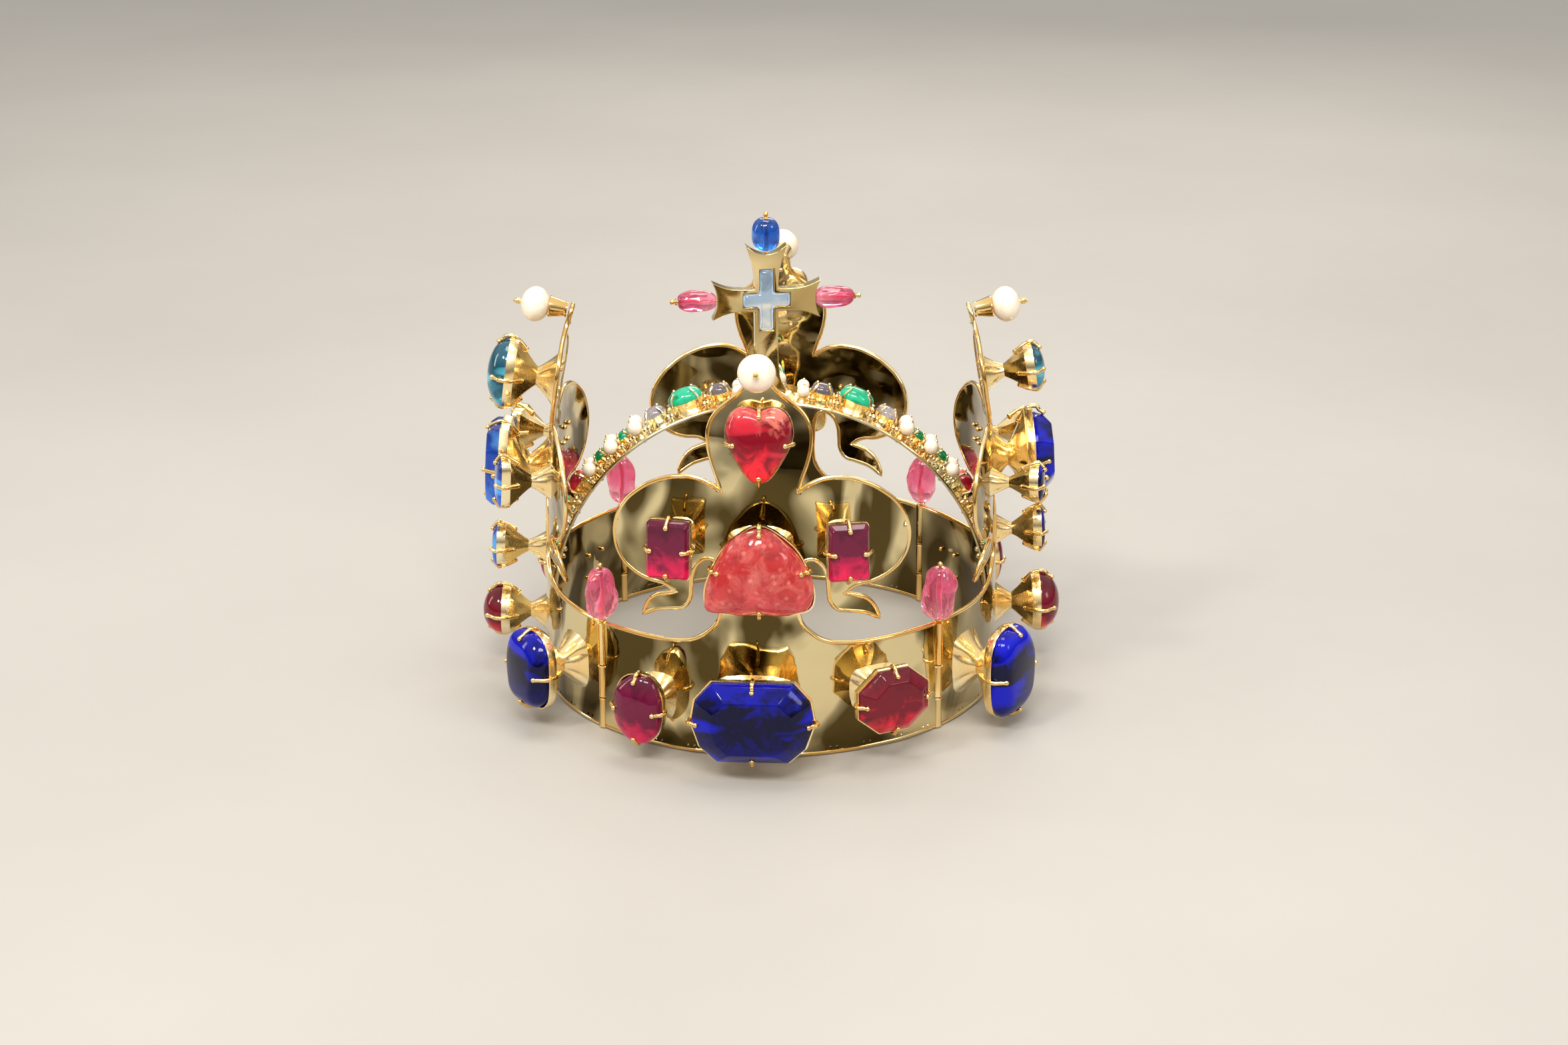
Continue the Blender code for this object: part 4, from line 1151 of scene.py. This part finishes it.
def make_cross():
    half = CROSS_DEPTH / 2
    bm = bmesh.new()
    edge = [(p.x, p.y) for p in bezier(cross_edge(), True, 6)]
    slab(bm, edge, -half, half)
    cross = add_bmesh("top_cross_plate", bm, CROSS_GOLD, ROOT, CROSS_PLACE, 35)
    bm = bmesh.new()
    slab(bm, inset_edge(GAP), -half - 2.0, -WINDOW_FLOOR)
    window = bpy.data.meshes.new("window")
    bmesh.ops.recalc_face_normals(bm, faces=bm.faces)
    bm.to_mesh(window)
    bm.free()
    window.transform(Matrix.Scale(MM, 4))
    cutter = show("window", window)
    cutter.matrix_world = cross.matrix_world
    cut = cross.modifiers.new("Window", "BOOLEAN")
    cut.operation = "DIFFERENCE"
    cut.object = cutter
    bpy.context.view_layer.update()
    solid = final_mesh(cross)
    cross.modifiers.clear()
    cross.data = solid
    bpy.data.objects.remove(cutter)
    add_bevel(cross, 0.45, 3)
    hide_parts("top_cross")
    bm = bmesh.new()
    wires = [((CROSS_REACH - 2, 0, CROSS_MIDDLE), (CROSS_WIRE, 0, CROSS_MIDDLE)),
             ((2 - CROSS_REACH, 0, CROSS_MIDDLE), (-CROSS_WIRE, 0, CROSS_MIDDLE)),
             ((0, 0, CROSS_TOP - 2), (0, 0, CROSS_TOP + CROSS_WIRE_UP))]
    for start, end in wires:
        start, end = Vector(start), Vector(end)
        tube(bm, [start, end], [0.5, 0.5], 10)
        ball(bm, end, 1.0, 12)
        along = (end - start).normalized()
        cap = frame_along(end - along * 2.1, along)
        turned(bm, cap, [(0.4, 0.0), (1.5, 0.2), (1.3, 0.7), (0.6, 1.2), (0.3, 1.4)], 14)
    wire = add_bmesh("top_cross_wires", bm, BRIGHT_GOLD, ROOT, CROSS_PLACE)
    bm = bmesh.new()
    slab(bm, inset_edge(0.0), -half - 0.6, -WINDOW_FLOOR - GAP)
    inset = add_bmesh("cross_inset_crystal", bm, GEMS["crystal"], ROOT, CROSS_PLACE, 30)
    add_bevel(inset, 1.1, 1, 60)
    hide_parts("cross_inset")
    turn = CROSS_PLACE.to_3x3()
    arm = turn @ Vector((1, 0, 0))
    for word, sign, seed in (("left", -1, 3.3), ("right", 1, 5.9)):
        start = CROSS_PLACE @ Vector((sign * (CROSS_REACH + GAP), 0, CROSS_MIDDLE))
        node = f"cross_{word}_bead"
        shape = (15.4, 9.9, 0.9, 0.12, seed)
        bead = tumbled_bead(f"{node}_worn", node, start, sign * arm, *shape, "spinel_pink", node)
    start = CROSS_PLACE @ rise(CROSS_TOP + 1.3)
    node = "cross_top_bead"
    shape = (13.0, 11.4, 0.95, 0.05, 2.2)
    top = tumbled_bead(f"{node}_cut", node, start, rise(1), *shape, "azure", node)


# Studio


# Area lights aimed at the crown: place, size, power, colour
LIGHTS = [
    ("key", (-0.75, -0.75, 1.25), (0.24, 0.24), 8, (1.0, 0.95, 0.86)),
    ("fill", (1.2, -0.8, 0.85), (0.4, 0.4), 3, (1.0, 0.96, 0.9)),
    ("top", (0.0, -0.88, 1.12), (0.62, 0.26), 11, (1.0, 0.96, 0.88)),
    ("over", (0.05, 0.10, 1.40), (0.7, 0.4), 8, (1.0, 0.96, 0.88)),
    ("rim", (0.2, 1.3, 0.75), (0.8, 0.2), 5, (1.0, 0.92, 0.80)),
    ("side", (-1.3, 0.2, 0.5), (0.2, 0.7), 3, (1.0, 0.93, 0.82)),
]
LIGHT_TARGET = Vector((0, 0, 0.08))
# The sky's colour from the horizon upwards
SKY = [(0.0, (0.10, 0.075, 0.055, 1)), (0.62, (1.0, 0.97, 0.92, 1))]
# The camera's place in metres, its tilt below the horizontal in degrees, its lens and sensor in millimetres
CAMERA_PLACE, CAMERA_TILT = (0.0054, -0.9835, 0.4324), 20.63
LENS, SENSOR = 57.93, 36.0


def area_light(name, place, size, power, colour):
    data = bpy.data.lights.new(name, "AREA")
    data.shape = "RECTANGLE"
    data.size, data.size_y = size
    data.energy = power
    data.color = colour
    light = show(name, data)
    light.location = place
    light.rotation_euler = (LIGHT_TARGET - Vector(place)).to_track_quat("-Z", "Y").to_euler()


def make_studio():
    bm = bmesh.new()
    bmesh.ops.create_grid(bm, x_segments=2, y_segments=2, size=6.0)
    mesh = bpy.data.meshes.new("floor")
    bm.to_mesh(mesh)
    bm.free()
    mesh.materials.append(floor_material())
    floor = show("floor", mesh)
    floor.location.z = -0.0002
    for light in LIGHTS:
        area_light(*light)
    world = bpy.data.worlds.new("studio")
    bpy.context.scene.world = world
    world.use_nodes = True
    tree = world.node_tree
    way = tree.nodes.new("ShaderNodeTexCoord").outputs["Generated"]
    split = tree.nodes.new("ShaderNodeSeparateXYZ")
    tree.links.new(way, split.inputs[0])
    sky = tree.nodes.new("ShaderNodeValToRGB")
    tree.links.new(split.outputs["Z"], sky.inputs["Fac"])
    for element, (position, colour) in zip(sky.color_ramp.elements, SKY):
        element.position = position
        element.color = colour
    tree.links.new(sky.outputs["Color"], tree.nodes["Background"].inputs["Color"])
    tree.nodes["Background"].inputs["Strength"].default_value = 1.0


def make_camera():
    data = bpy.data.cameras.new("camera")
    data.sensor_width = SENSOR
    data.lens = LENS
    camera = show("camera", data)
    camera.location = CAMERA_PLACE
    camera.rotation_euler = (radians(90 - CAMERA_TILT), 0, 0)
    bpy.context.scene.camera = camera
    bpy.context.scene.view_settings.view_transform = "Standard"


def main():
    make_camera()
    for side in PANELS:
        make_panel(side)
    make_hinges()
    make_stones()
    make_pins()
    make_pearls()
    make_arches()
    make_boss()
    make_cross()
    make_studio()


main()
